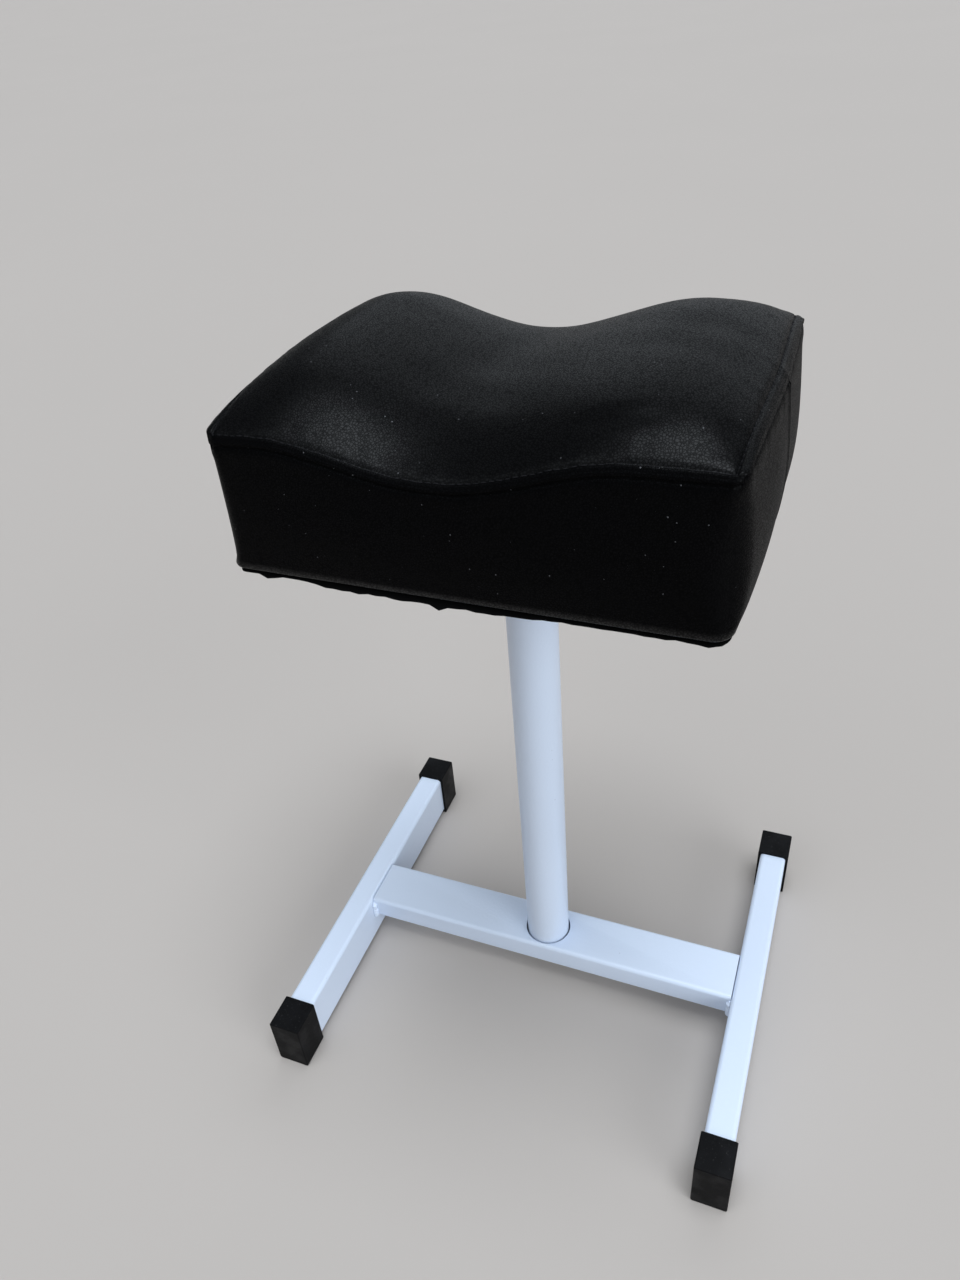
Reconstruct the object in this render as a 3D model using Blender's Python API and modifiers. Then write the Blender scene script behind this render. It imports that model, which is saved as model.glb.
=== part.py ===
"""Pedicure footrest: a saddle-shaped pad on a post that turns in an H-shaped tube base.

Metres, +Z up. X runs along the crossbar, -Y is the front, and the origin is on the floor
under the post.
"""

import math

import bmesh
import bpy
from mathutils import Matrix, Vector

# Clearances
FIT_GAP = 0.0003
PAD_GAP = 0.0005
BOLT_CLEARANCE = 0.0005

# Rectangular tube of the base
TUBE_WIDE = 0.040
TUBE_NARROW = 0.020
TUBE_WALL = 0.0015
TUBE_CORNER = 0.003
LEG_LENGTH = 0.290
LEG_SPACING = 0.312
WELD_LEG = 0.004

# Sleeve caps on the leg ends
CAP_WALL = 0.0017
CAP_END = 0.0027
CAP_GRIP = 0.022
CAP_CORNER = 0.0015
CAP_EDGE = 0.0008

# Post and its pivot
POST_DIAMETER = 0.032
POST_WALL = 0.0015
POST_LENGTH = 0.387
POST_HOLE_CLEARANCE = 0.0012
SLIP_WASHER_DIAMETER = 0.030
SLIP_WASHER_THICKNESS = 0.0015
PLUG_THICKNESS = 0.008
BOLT_DIAMETER = 0.010
BOLT_REACH = 0.0025
BOLT_HEAD_ACROSS_CORNERS = 0.0185
BOLT_HEAD_HEIGHT = 0.0064
FLAT_WASHER_DIAMETER = 0.024
FLAT_WASHER_THICKNESS = 0.002
SPRING_WASHER_DIAMETER = 0.0175
SPRING_WASHER_THICKNESS = 0.0022
SPRING_WASHER_SLIT = 0.0012

# Plate on the post's top and what holds it to the board
PLATE_LENGTH = 0.120
PLATE_DEPTH = 0.100
PLATE_THICKNESS = 0.004
PLATE_CORNER = 0.008
PLATE_WELD_LEG = 0.005
SCREW_SPACING_X = 0.090
SCREW_SPACING_Y = 0.070
SCREW_DIAMETER = 0.006
SCREW_LENGTH = 0.016
SCREW_HEAD_DIAMETER = 0.0115
SCREW_HEAD_HEIGHT = 0.004
SCREW_WASHER_DIAMETER = 0.0125
SCREW_WASHER_THICKNESS = 0.0012
TEE_NUT_BARREL_WALL = 0.001
TEE_NUT_BARREL_LENGTH = 0.008
TEE_NUT_FLANGE_DIAMETER = 0.019
TEE_NUT_FLANGE_THICKNESS = 0.0015

# Pad: sewn outline at the top seam, and how much longer and deeper the covered board is below
SEAM_LENGTH = 0.266
SEAM_DEPTH = 0.196
SEAM_CORNER = 0.012
FOOT_EXTRA_LENGTH = -0.002
FOOT_EXTRA_DEPTH = 0.003
FOOT_CORNER = 0.016
SIDE_HEIGHT = 0.083
SIDE_DRAW_IN = 0.002
LEFT_TO_RIGHT_RISE = 0.003
VALLEY_DEPTH = 0.020
VALLEY_WIDTH = 0.210
VALLEY_SHIFT = -0.008
CROWN_HEIGHT = 0.020
CROWN_FULLNESS_X = 5.5
CROWN_FULLNESS_Y = 4.0
COVER_THICKNESS = 0.0012
HEM_WIDTH = 0.026
BOARD_THICKNESS = 0.012
LINING_THICKNESS = 0.0006
LINING_MARGIN = 0.002

# Staples through the lining and the hem
STAPLE_CROWN = 0.010
STAPLE_WIRE = 0.0011
STAPLE_LEG = 0.008
STAPLE_INSET = 0.016
LONG_SIDE_STAPLE_COUNT = 4
SHORT_SIDE_STAPLE_COUNT = 2
STAPLE_CORNER_MARGIN = 0.048

# Fineness of the curved shapes
ROUND_STEPS = 40
SMALL_ROUND_STEPS = 16
CORNER_STEPS = 4
PAD_LONG_STEPS = 14
PAD_SHORT_STEPS = 6
SIDE_RING_STEPS = 4
CROWN_RING_SHARES = (1.0, 0.97, 0.92, 0.84, 0.73, 0.6, 0.46, 0.31, 0.16, 0.01)

# Outline of the covered board
FOOT_LENGTH = SEAM_LENGTH + FOOT_EXTRA_LENGTH
FOOT_DEPTH = SEAM_DEPTH + FOOT_EXTRA_DEPTH

# Heights, worked out from the floor up
LEG_BOTTOM = CAP_WALL + FIT_GAP
LEG_TOP = LEG_BOTTOM + TUBE_WIDE
LEG_MIDDLE = (LEG_BOTTOM + LEG_TOP) / 2
CROSSBAR_BOTTOM = LEG_TOP - TUBE_NARROW
CROSSBAR_MIDDLE = (CROSSBAR_BOTTOM + LEG_TOP) / 2
CROSSBAR_FLOOR = CROSSBAR_BOTTOM + TUBE_WALL
CROSSBAR_LENGTH = LEG_SPACING - TUBE_NARROW - 2 * FIT_GAP
SLIP_WASHER_BOTTOM = CROSSBAR_FLOOR + FIT_GAP
POST_BOTTOM = SLIP_WASHER_BOTTOM + SLIP_WASHER_THICKNESS + FIT_GAP
POST_TOP = POST_BOTTOM + POST_LENGTH
POST_BORE = POST_DIAMETER - 2 * POST_WALL
FLAT_WASHER_BOTTOM = CROSSBAR_BOTTOM - FIT_GAP - FLAT_WASHER_THICKNESS
SPRING_WASHER_BOTTOM = FLAT_WASHER_BOTTOM - FIT_GAP - SPRING_WASHER_THICKNESS
BOLT_SEAT = SPRING_WASHER_BOTTOM - FIT_GAP
BOLT_TOP = POST_BOTTOM + PLUG_THICKNESS + BOLT_REACH
BOLT_HOLE = BOLT_DIAMETER + 2 * BOLT_CLEARANCE
PLATE_BOTTOM = POST_TOP + FIT_GAP
PLATE_TOP = PLATE_BOTTOM + PLATE_THICKNESS
LINING_BOTTOM = PLATE_TOP + FIT_GAP
HEM_BOTTOM = LINING_BOTTOM + LINING_THICKNESS + FIT_GAP
BOARD_BOTTOM = HEM_BOTTOM + COVER_THICKNESS + FIT_GAP
BOARD_TOP = BOARD_BOTTOM + BOARD_THICKNESS
FOAM_BOTTOM = BOARD_TOP + PAD_GAP
SEAM_HEIGHT = LINING_BOTTOM + SIDE_HEIGHT
SCREW_WASHER_BOTTOM = PLATE_BOTTOM - FIT_GAP - SCREW_WASHER_THICKNESS
SCREW_SEAT = SCREW_WASHER_BOTTOM - FIT_GAP
SCREW_HOLE = SCREW_DIAMETER + 2 * FIT_GAP
TEE_NUT_BARREL = SCREW_HOLE + 2 * TEE_NUT_BARREL_WALL
TEE_NUT_SEAT = BOARD_TOP - TEE_NUT_FLANGE_THICKNESS - FIT_GAP
COVER_INSET = COVER_THICKNESS + PAD_GAP
STAPLE_SEAT = LINING_BOTTOM - FIT_GAP
STAPLE_TOP = STAPLE_SEAT + STAPLE_LEG

# Colours and finishes: red, green, blue, roughness, metallic
WHITE_PAINT = (0.80, 0.80, 0.79, 0.35, 0.0)
BLACK_PLASTIC = (0.02, 0.02, 0.02, 0.55, 0.0)
BLACK_VINYL = (0.018, 0.018, 0.02, 0.42, 0.0)
BLACK_CLOTH = (0.012, 0.012, 0.012, 0.9, 0.0)
ZINC = (0.55, 0.55, 0.53, 0.4, 1.0)
WHITE_NYLON = (0.75, 0.74, 0.68, 0.5, 0.0)
PLYWOOD = (0.55, 0.38, 0.2, 0.7, 0.0)
FOAM = (0.75, 0.68, 0.42, 0.95, 0.0)

SMOOTH_ANGLE = math.radians(35)
CAP_BEVEL_ANGLE = math.radians(60)
WELD_DISTANCE = 0.00001
LEAST_CORNER = 0.002
HEX_SIDES = 6
CUT_OVERSHOOT = 0.002


def clear_scene():
    """Start from a scene with no objects."""
    for item in list(bpy.data.objects):
        bpy.data.objects.remove(item, do_unlink=True)


def new_collection(name):
    """Add a collection to the scene."""
    collection = bpy.data.collections.new(name)
    bpy.context.scene.collection.children.link(collection)
    return collection


def finish_mesh(bm, name):
    """Turn a bmesh into an object with its faces pointing out and its round faces smooth."""
    bmesh.ops.remove_doubles(bm, verts=bm.verts, dist=WELD_DISTANCE)
    bmesh.ops.recalc_face_normals(bm, faces=bm.faces)
    mesh = bpy.data.meshes.new(name)
    bm.to_mesh(mesh)
    bm.free()
    mesh.shade_smooth()
    mesh.set_sharp_from_angle(angle=SMOOTH_ANGLE)
    return bpy.data.objects.new(name, mesh)


def rounded_rectangle(length, depth, corner, long_steps=1, short_steps=1):
    """Points round a rectangle with arcs for corners, anticlockwise from its right side."""
    half_x = length / 2 - corner
    half_y = depth / 2 - corner
    points = []
    centres = ((half_x, half_y), (-half_x, half_y), (-half_x, -half_y), (half_x, -half_y))
    for index, (centre_x, centre_y) in enumerate(centres):
        for step in range(CORNER_STEPS + 1):
            angle = math.pi / 2 * (index + step / CORNER_STEPS)
            points.append(Vector((centre_x + corner * math.cos(angle),
                                  centre_y + corner * math.sin(angle))))
        side_steps = long_steps if index % 2 == 0 else short_steps
        following = centres[(index + 1) % len(centres)]
        angle = math.pi / 2 * (index + 1)
        side_start = points[-1]
        side_end = Vector((following[0] + corner * math.cos(angle),
                           following[1] + corner * math.sin(angle)))
        for step in range(1, side_steps):
            points.append(side_start.lerp(side_end, step / side_steps))
    return points


def add_evaluated(bm, item):
    """Add an object's finished shape to a bmesh where it stands, and remove the object."""
    bpy.context.scene.collection.objects.link(item)
    depsgraph = bpy.context.evaluated_depsgraph_get()
    mesh = bpy.data.meshes.new_from_object(item.evaluated_get(depsgraph))
    mesh.transform(item.matrix_world)
    bm.from_mesh(mesh)
    bpy.data.meshes.remove(mesh)
    bpy.data.objects.remove(item, do_unlink=True)


def extruded(name, outlines, thickness, matrix):
    """Flat outlines given a thickness; a second outline inside the first is a hole."""
    curve = bpy.data.curves.new(name, "CURVE")
    curve.dimensions = "2D"
    curve.fill_mode = "BOTH"
    curve.extrude = thickness / 2
    for outline in outlines:
        spline = curve.splines.new("POLY")
        spline.points.add(len(outline) - 1)
        for point, place in zip(spline.points, outline):
            point.co = (place.x, place.y, 0.0, 1.0)
        spline.use_cyclic_u = True
    bm = bmesh.new()
    add_evaluated(bm, bpy.data.objects.new(name, curve))
    bmesh.ops.transform(bm, matrix=matrix, verts=bm.verts)
    return finish_mesh(bm, name)


def drum(name, diameter, bottom, top, place=(0.0, 0.0), steps=ROUND_STEPS):
    """Upright cylinder, or a prism where the steps are few."""
    bm = bmesh.new()
    height = top - bottom
    middle = Matrix.Translation((place[0], place[1], bottom + height / 2))
    bmesh.ops.create_cone(bm, cap_ends=True, segments=steps, radius1=diameter / 2,
                          radius2=diameter / 2, depth=height, matrix=middle)
    return finish_mesh(bm, name)


def turned(name, profile, steps, place=(0.0, 0.0)):
    """Shape turned about an upright axis from (radius, height) points, outer side first.

    A profile that starts on the axis ends there too; any other closes on itself as a ring.
    """
    bm = bmesh.new()
    corners = [bm.verts.new((radius, 0.0, height)) for radius, height in profile]
    for first, second in zip(corners, corners[1:]):
        bm.edges.new((first, second))
    if profile[0][0] > 0.0:
        bm.edges.new((corners[-1], corners[0]))
    item = finish_mesh(bm, name)
    item.location = (place[0], place[1], 0.0)
    screw = item.modifiers.new("turn", "SCREW")
    screw.steps = steps
    screw.render_steps = steps
    screw.use_merge_vertices = True
    screw.merge_threshold = WELD_DISTANCE
    return merged(name, [item])


def washer(name, outer, inner, bottom, top, place=(0.0, 0.0), steps=ROUND_STEPS):
    """Flat ring about an upright axis."""
    profile = [(outer / 2, top), (outer / 2, bottom), (inner / 2, bottom), (inner / 2, top)]
    return turned(name, profile, steps, place)


def loft(name, rings, ring_shaped):
    """Solid skinned over equal rings; its ends meet, or are closed by a small face each."""
    bm = bmesh.new()
    layers = [[bm.verts.new(point) for point in ring] for ring in rings]
    pairs = list(zip(layers, layers[1:]))
    if ring_shaped:
        pairs.append((layers[-1], layers[0]))
    else:
        bm.faces.new(layers[0])
        bm.faces.new(layers[-1])
    for lower, upper in pairs:
        for index, corner in enumerate(lower):
            following = (index + 1) % len(lower)
            bm.faces.new((corner, lower[following], upper[following], upper[index]))
    bmesh.ops.triangulate(bm, faces=bm.faces, quad_method="SHORT_EDGE")
    return finish_mesh(bm, name)


def merged(name, items):
    """One object made of the finished shapes of several."""
    bm = bmesh.new()
    for item in items:
        add_evaluated(bm, item)
    return finish_mesh(bm, name)


class Assembly:
    """Collections, axes and cutters of the footrest."""

    def __init__(self):
        self.parts = new_collection("pedicure_footrest")
        self.cutters = new_collection("pedicure_footrest_cutters")
        self.base = self.axis("base_frame")
        self.swivel = self.axis("post_swivel_axis")

    def axis(self, name):
        """Empty on the post's axis that carries one body."""
        empty = bpy.data.objects.new(name, None)
        self.parts.objects.link(empty)
        return empty

    def add(self, item, carrier, finish):
        """Put a finished piece on its body, with its own material."""
        self.parts.objects.link(item)
        item.parent = carrier
        red, green, blue, roughness, metallic = finish
        material = bpy.data.materials.new(item.name)
        material.use_nodes = True
        shader = material.node_tree.nodes["Principled BSDF"]
        shader.inputs["Base Color"].default_value = (red, green, blue, 1.0)
        shader.inputs["Roughness"].default_value = roughness
        shader.inputs["Metallic"].default_value = metallic
        material.diffuse_color = (red, green, blue, 1.0)
        item.data.materials.clear()
        item.data.materials.append(material)
        return item

    def cutter(self, item):
        """Hide a shape that is only used to cut others."""
        self.cutters.objects.link(item)
        item.hide_render = True
        item.display_type = "WIRE"
        return item

    def cut(self, item, cutter):
        """Take the cutter's shape out of a piece."""
        boolean = item.modifiers.new(cutter.name, "BOOLEAN")
        boolean.operation = "DIFFERENCE"
        boolean.solver = "EXACT"
        boolean.object = cutter


def tube_section():
    """Outer and inner outline of the rectangular tube, wide side along X."""
    inner_corner = TUBE_CORNER - TUBE_WALL
    outer = rounded_rectangle(TUBE_WIDE, TUBE_NARROW, TUBE_CORNER)
    inner = rounded_rectangle(TUBE_WIDE - 2 * TUBE_WALL, TUBE_NARROW - 2 * TUBE_WALL, inner_corner)
    return outer, inner


# The outline's own X, Y and thickness turned to the tube's run
LEG_TURN = Matrix(((0, 1, 0, 0), (0, 0, 1, 0), (1, 0, 0, 0), (0, 0, 0, 1)))
CROSSBAR_TURN = Matrix(((0, 0, 1, 0), (1, 0, 0, 0), (0, 1, 0, 0), (0, 0, 0, 1)))


def add_legs(assembly):
    """Two tubes on edge, front to back."""
    for name, side in (("left_leg", -1), ("right_leg", 1)):
        place = Matrix.Translation((side * LEG_SPACING / 2, 0.0, LEG_MIDDLE))
        leg = extruded(name, tube_section(), LEG_LENGTH, place @ LEG_TURN)
        assembly.add(leg, assembly.base, WHITE_PAINT)


def add_crossbar(assembly):
    """Flat tube between the legs, with the post's hole above and the bolt's hole below."""
    place = Matrix.Translation((0.0, 0.0, CROSSBAR_MIDDLE))
    crossbar = extruded("crossbar", tube_section(), CROSSBAR_LENGTH, place @ CROSSBAR_TURN)
    assembly.add(crossbar, assembly.base, WHITE_PAINT)
    post_hole = drum("post_hole", POST_DIAMETER + 2 * POST_HOLE_CLEARANCE, CROSSBAR_MIDDLE,
                     LEG_TOP + CUT_OVERSHOOT)
    bolt_hole = drum("bolt_hole", BOLT_HOLE, CROSSBAR_BOTTOM - CUT_OVERSHOOT, CROSSBAR_MIDDLE)
    assembly.cut(crossbar, assembly.cutter(post_hole))
    assembly.cut(crossbar, assembly.cutter(bolt_hole))


def add_weld_beads(assembly):
    """Bead at each end of the crossbar, round its front, underside and back."""
    outline = rounded_rectangle(TUBE_WIDE + 2 * FIT_GAP, TUBE_NARROW + 2 * FIT_GAP, TUBE_CORNER + FIT_GAP)
    lower_half = outline[len(outline) // 2:]
    half_wide = TUBE_WIDE / 2 - TUBE_CORNER
    half_narrow = TUBE_NARROW / 2 - TUBE_CORNER
    path = [Vector((lower_half[0].x, half_narrow))] + lower_half
    path.append(Vector((lower_half[-1].x, half_narrow)))
    end_x = CROSSBAR_LENGTH / 2
    for name, side in (("left_weld_bead", -1), ("right_weld_bead", 1)):
        sections = []
        for point in path:
            core_x = max(-half_wide, min(half_wide, point.x))
            core_z = max(-half_narrow, min(half_narrow, point.y))
            outward = (point - Vector((core_x, core_z))).normalized()
            toe = point + outward * WELD_LEG
            sections.append([(side * end_x, point.x, CROSSBAR_MIDDLE + point.y),
                             (side * end_x, toe.x, CROSSBAR_MIDDLE + toe.y),
                             (side * (end_x - WELD_LEG), point.x, CROSSBAR_MIDDLE + point.y)])
        assembly.add(loft(name, sections, False), assembly.base, WHITE_PAINT)


def add_caps(assembly):
    """Sleeve cap on each leg end, closed at its outer end and open towards the leg."""
    hollow_wide = TUBE_WIDE + 2 * FIT_GAP
    hollow_narrow = TUBE_NARROW + 2 * FIT_GAP
    hollow_corner = TUBE_CORNER + FIT_GAP
    length = CAP_GRIP + FIT_GAP + CAP_END
    outer = rounded_rectangle(hollow_wide + 2 * CAP_WALL, hollow_narrow + 2 * CAP_WALL, CAP_CORNER)
    inner = rounded_rectangle(hollow_wide, hollow_narrow, hollow_corner)
    hollow_length = CAP_GRIP + FIT_GAP + CUT_OVERSHOOT
    for depth_name, end in (("front", -1), ("rear", 1)):
        for side_name, side in (("left", -1), ("right", 1)):
            name = f"{depth_name}_{side_name}_cap"
            leg_x = side * LEG_SPACING / 2
            outer_end = LEG_LENGTH / 2 + FIT_GAP + CAP_END
            body_place = Matrix.Translation((leg_x, end * (outer_end - length / 2), LEG_MIDDLE))
            cap = extruded(name, [outer], length, body_place @ LEG_TURN)
            bevel = cap.modifiers.new("soft_edges", "BEVEL")
            bevel.width = CAP_EDGE
            bevel.segments = 2
            bevel.limit_method = "ANGLE"
            bevel.angle_limit = CAP_BEVEL_ANGLE
            hollow_middle = LEG_LENGTH / 2 + FIT_GAP - hollow_length / 2
            hollow_place = Matrix.Translation((leg_x, end * hollow_middle, LEG_MIDDLE))
            hollow = extruded(f"{name}_hollow", [inner], hollow_length, hollow_place @ LEG_TURN)
            assembly.cut(cap, assembly.cutter(hollow))
            assembly.add(cap, assembly.base, BLACK_PLASTIC)


def add_pivot(assembly):
    """Slip washer, tapped plug, bolt and washers that let the post turn in the crossbar."""
    slip_washer = washer("slip_washer", SLIP_WASHER_DIAMETER, BOLT_HOLE, SLIP_WASHER_BOTTOM,
                         SLIP_WASHER_BOTTOM + SLIP_WASHER_THICKNESS)
    assembly.add(slip_washer, assembly.base, WHITE_NYLON)
    plug = washer("post_plug", POST_BORE - 2 * FIT_GAP, BOLT_DIAMETER + 2 * FIT_GAP, POST_BOTTOM,
                  POST_BOTTOM + PLUG_THICKNESS)
    assembly.add(plug, assembly.swivel, ZINC)
    flat_washer = washer("pivot_flat_washer", FLAT_WASHER_DIAMETER, BOLT_HOLE, FLAT_WASHER_BOTTOM,
                         FLAT_WASHER_BOTTOM + FLAT_WASHER_THICKNESS)
    assembly.add(flat_washer, assembly.swivel, ZINC)
    spring_top = SPRING_WASHER_BOTTOM + SPRING_WASHER_THICKNESS
    spring_washer = washer("pivot_spring_washer", SPRING_WASHER_DIAMETER, BOLT_HOLE,
                           SPRING_WASHER_BOTTOM, spring_top)
    slit = rounded_rectangle(SPRING_WASHER_DIAMETER, SPRING_WASHER_SLIT, SPRING_WASHER_SLIT / 4)
    slit_place = Matrix.Translation((SPRING_WASHER_DIAMETER / 2, 0.0, SPRING_WASHER_BOTTOM))
    slit_height = 2 * SPRING_WASHER_THICKNESS + 2 * CUT_OVERSHOOT
    slit_cutter = extruded("spring_washer_slit", [slit], slit_height, slit_place)
    assembly.cut(spring_washer, assembly.cutter(slit_cutter))
    assembly.add(spring_washer, assembly.swivel, ZINC)
    bolt = drum("pivot_bolt", BOLT_HEAD_ACROSS_CORNERS, BOLT_SEAT - BOLT_HEAD_HEIGHT, BOLT_SEAT,
                steps=HEX_SIDES)
    shank = drum("pivot_bolt_shank", BOLT_DIAMETER, BOLT_SEAT - BOLT_HEAD_HEIGHT / 2, BOLT_TOP)
    join_shank(assembly, bolt, shank)
    assembly.add(bolt, assembly.swivel, ZINC)


def join_shank(assembly, head, shank):
    """Make a head and a shank one solid."""
    boolean = head.modifiers.new("shank", "BOOLEAN")
    boolean.operation = "UNION"
    boolean.solver = "EXACT"
    boolean.object = assembly.cutter(shank)


def add_post(assembly):
    """Round tube, the plate on its top and the fillet weld between them."""
    post = washer("post_tube", POST_DIAMETER, POST_BORE, POST_BOTTOM, POST_TOP)
    assembly.add(post, assembly.swivel, WHITE_PAINT)
    outline = rounded_rectangle(PLATE_LENGTH, PLATE_DEPTH, PLATE_CORNER)
    place = Matrix.Translation((0.0, 0.0, (PLATE_BOTTOM + PLATE_TOP) / 2))
    plate = extruded("top_plate", [outline], PLATE_THICKNESS, place)
    assembly.cut(plate, assembly.cutter(screw_holes("plate_screw_holes", SCREW_HOLE)))
    assembly.add(plate, assembly.swivel, WHITE_PAINT)
    inside = POST_DIAMETER / 2 + FIT_GAP
    top = PLATE_BOTTOM - FIT_GAP
    profile = [(inside + PLATE_WELD_LEG, top), (inside, top - PLATE_WELD_LEG), (inside, top)]
    weld = turned("top_plate_weld", profile, ROUND_STEPS)
    assembly.add(weld, assembly.swivel, WHITE_PAINT)


def screw_places():
    """The four screw positions round the post, by name."""
    return {f"{depth_name}_{side_name}": (side * SCREW_SPACING_X / 2, end * SCREW_SPACING_Y / 2)
            for depth_name, end in (("front", -1), ("rear", 1))
            for side_name, side in (("left", -1), ("right", 1))}


def screw_holes(name, diameter):
    """Cutter for the four screw holes, through the plate, the lining and the board."""
    drums = [drum(f"{name}_one", diameter, PLATE_BOTTOM - CUT_OVERSHOOT, BOARD_TOP + CUT_OVERSHOOT,
                  place, SMALL_ROUND_STEPS) for place in screw_places().values()]
    return merged(name, drums)


def plate_screw(name, place):
    """Pan-head screw, its shank pointing up into the tee nut."""
    head = SCREW_HEAD_DIAMETER / 2
    shank = SCREW_DIAMETER / 2
    shank_top = SCREW_SEAT + SCREW_LENGTH
    rim = SCREW_SEAT - SCREW_HEAD_HEIGHT / 2
    head_bottom = SCREW_SEAT - SCREW_HEAD_HEIGHT
    profile = [(0.0, shank_top), (shank, shank_top), (shank, SCREW_SEAT), (head, SCREW_SEAT),
               (head, rim), (head / 2, head_bottom), (0.0, head_bottom)]
    return turned(name, profile, SMALL_ROUND_STEPS, place)


def tee_nut(name, place):
    """Flanged nut let into the board from above."""
    flange = TEE_NUT_FLANGE_DIAMETER / 2
    barrel = TEE_NUT_BARREL / 2
    bore = SCREW_HOLE / 2
    flange_top = TEE_NUT_SEAT + TEE_NUT_FLANGE_THICKNESS
    barrel_bottom = TEE_NUT_SEAT - TEE_NUT_BARREL_LENGTH
    profile = [(flange, flange_top), (flange, TEE_NUT_SEAT), (barrel, TEE_NUT_SEAT),
               (barrel, barrel_bottom), (bore, barrel_bottom), (bore, flange_top)]
    return turned(name, profile, SMALL_ROUND_STEPS, place)


def add_plate_fixings(assembly):
    """Screws, washers and tee nuts that clamp the plate to the board."""
    washer_top = SCREW_WASHER_BOTTOM + SCREW_WASHER_THICKNESS
    for corner, place in screw_places().items():
        flat_washer = washer(f"plate_washer_{corner}", SCREW_WASHER_DIAMETER, SCREW_HOLE,
                             SCREW_WASHER_BOTTOM, washer_top, place, SMALL_ROUND_STEPS)
        assembly.add(plate_screw(f"plate_screw_{corner}", place), assembly.swivel, ZINC)
        assembly.add(flat_washer, assembly.swivel, ZINC)
        assembly.add(tee_nut(f"tee_nut_{corner}", place), assembly.swivel, ZINC)


def seam_height(x):
    """Height of the top seam: a rounded valley between a lower left end and a higher right end."""
    reach = min(abs(x - VALLEY_SHIFT) / (VALLEY_WIDTH / 2), 1.0)
    valley = VALLEY_DEPTH * (1 + math.cos(math.pi * reach)) / 2
    return SEAM_HEIGHT + LEFT_TO_RIGHT_RISE * x / SEAM_LENGTH - valley


def top_height(x, y):
    """Height of the crowned top: highest inside, falling to the seam all round."""
    share_x = min(abs(2 * x / SEAM_LENGTH), 1.0)
    share_y = min(abs(2 * y / SEAM_DEPTH), 1.0)
    crown = CROWN_HEIGHT * (1 - share_x ** CROWN_FULLNESS_X) * (1 - share_y ** CROWN_FULLNESS_Y)
    return seam_height(x) + crown


def pad_outline(rise, inset):
    """Pad's outline moved in by an inset, at a share of the way from the board's top to the seam.

    The sides are drawn in half way up.
    """
    drawn = inset + SIDE_DRAW_IN * math.sin(math.pi * rise)
    length = FOOT_LENGTH + (SEAM_LENGTH - FOOT_LENGTH) * rise - 2 * drawn
    depth = FOOT_DEPTH + (SEAM_DEPTH - FOOT_DEPTH) * rise - 2 * drawn
    corner = FOOT_CORNER + (SEAM_CORNER - FOOT_CORNER) * rise - inset
    return rounded_rectangle(length, depth, max(corner, LEAST_CORNER), PAD_LONG_STEPS, PAD_SHORT_STEPS)


def foot_outline(inset):
    """Outline of the pad's foot with plain straight sides, for a flat piece."""
    return rounded_rectangle(FOOT_LENGTH - 2 * inset, FOOT_DEPTH - 2 * inset, FOOT_CORNER - inset)


def foot_ring(inset, height):
    """Level ring at the outline of the pad's foot."""
    return [Vector((point.x, point.y, height)) for point in pad_outline(0.0, inset)]


def side_rings(inset, below_seam):
    """Rings up the pad's side above the board, the last a drop below the seam."""
    rings = []
    for step in range(1, SIDE_RING_STEPS + 1):
        rise = step / SIDE_RING_STEPS
        ring = []
        for point in pad_outline(rise, inset):
            climb = seam_height(point.x) - below_seam - BOARD_TOP
            ring.append(Vector((point.x, point.y, BOARD_TOP + climb * rise)))
        rings.append(ring)
    return rings


def crown_rings(below):
    """Rings from the top seam in to the middle, at a depth below the crowned top."""
    outline = pad_outline(1.0, 0.0)
    return [[Vector((point.x * share, point.y * share,
                     top_height(point.x * share, point.y * share) - below)) for point in outline]
            for share in CROWN_RING_SHARES]


def spread(side_length, count):
    """Even places along one side of the pad's foot, kept clear of its corners."""
    end = side_length / 2 - STAPLE_CORNER_MARGIN
    return [end * (2 * index / (count - 1) - 1) for index in range(count)]


def staple_places():
    """Middle and turn of each staple along the hem."""
    places = []
    for side in (-1, 1):
        for along in spread(FOOT_LENGTH, LONG_SIDE_STAPLE_COUNT):
            places.append((along, side * (FOOT_DEPTH / 2 - STAPLE_INSET), 0.0))
        for along in spread(FOOT_DEPTH, SHORT_SIDE_STAPLE_COUNT):
            places.append((side * (FOOT_LENGTH / 2 - STAPLE_INSET), along, math.pi / 2))
    return places


def staple(name, x, y, angle):
    """One staple, crown down: a flat outline given the wire's thickness and stood upright."""
    outer = STAPLE_CROWN / 2
    inner = outer - STAPLE_WIRE
    crown_bottom = STAPLE_SEAT - STAPLE_WIRE
    right_half = [(outer, crown_bottom), (outer, STAPLE_TOP), (inner, STAPLE_TOP), (inner, STAPLE_SEAT)]
    left_half = [(-across, height) for across, height in right_half[::-1]]
    outline = [Vector(corner) for corner in right_half + left_half]
    upright = Matrix.Rotation(math.pi / 2, 4, "X")
    place = Matrix.Translation((x, y, 0.0)) @ Matrix.Rotation(angle, 4, "Z")
    return extruded(name, [outline], STAPLE_WIRE, place @ upright)


def staple_slots(name):
    """Cutter for the slots that the staples' legs go through."""
    slot = STAPLE_WIRE + 2 * FIT_GAP
    bottom = LINING_BOTTOM - CUT_OVERSHOOT
    top = STAPLE_TOP + FIT_GAP
    leg_x = (STAPLE_CROWN - STAPLE_WIRE) / 2
    slots = []
    for x, y, angle in staple_places():
        for side in (-1, 1):
            bm = bmesh.new()
            bmesh.ops.create_cube(bm, size=1.0)
            bmesh.ops.scale(bm, vec=(slot, slot, top - bottom), verts=bm.verts)
            place = Matrix.Translation((x, y, (bottom + top) / 2)) @ Matrix.Rotation(angle, 4, "Z")
            shift = Matrix.Translation((side * leg_x, 0.0, 0.0))
            bmesh.ops.transform(bm, matrix=place @ shift, verts=bm.verts)
            slots.append(finish_mesh(bm, f"{name}_one"))
    return merged(name, slots)


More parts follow.
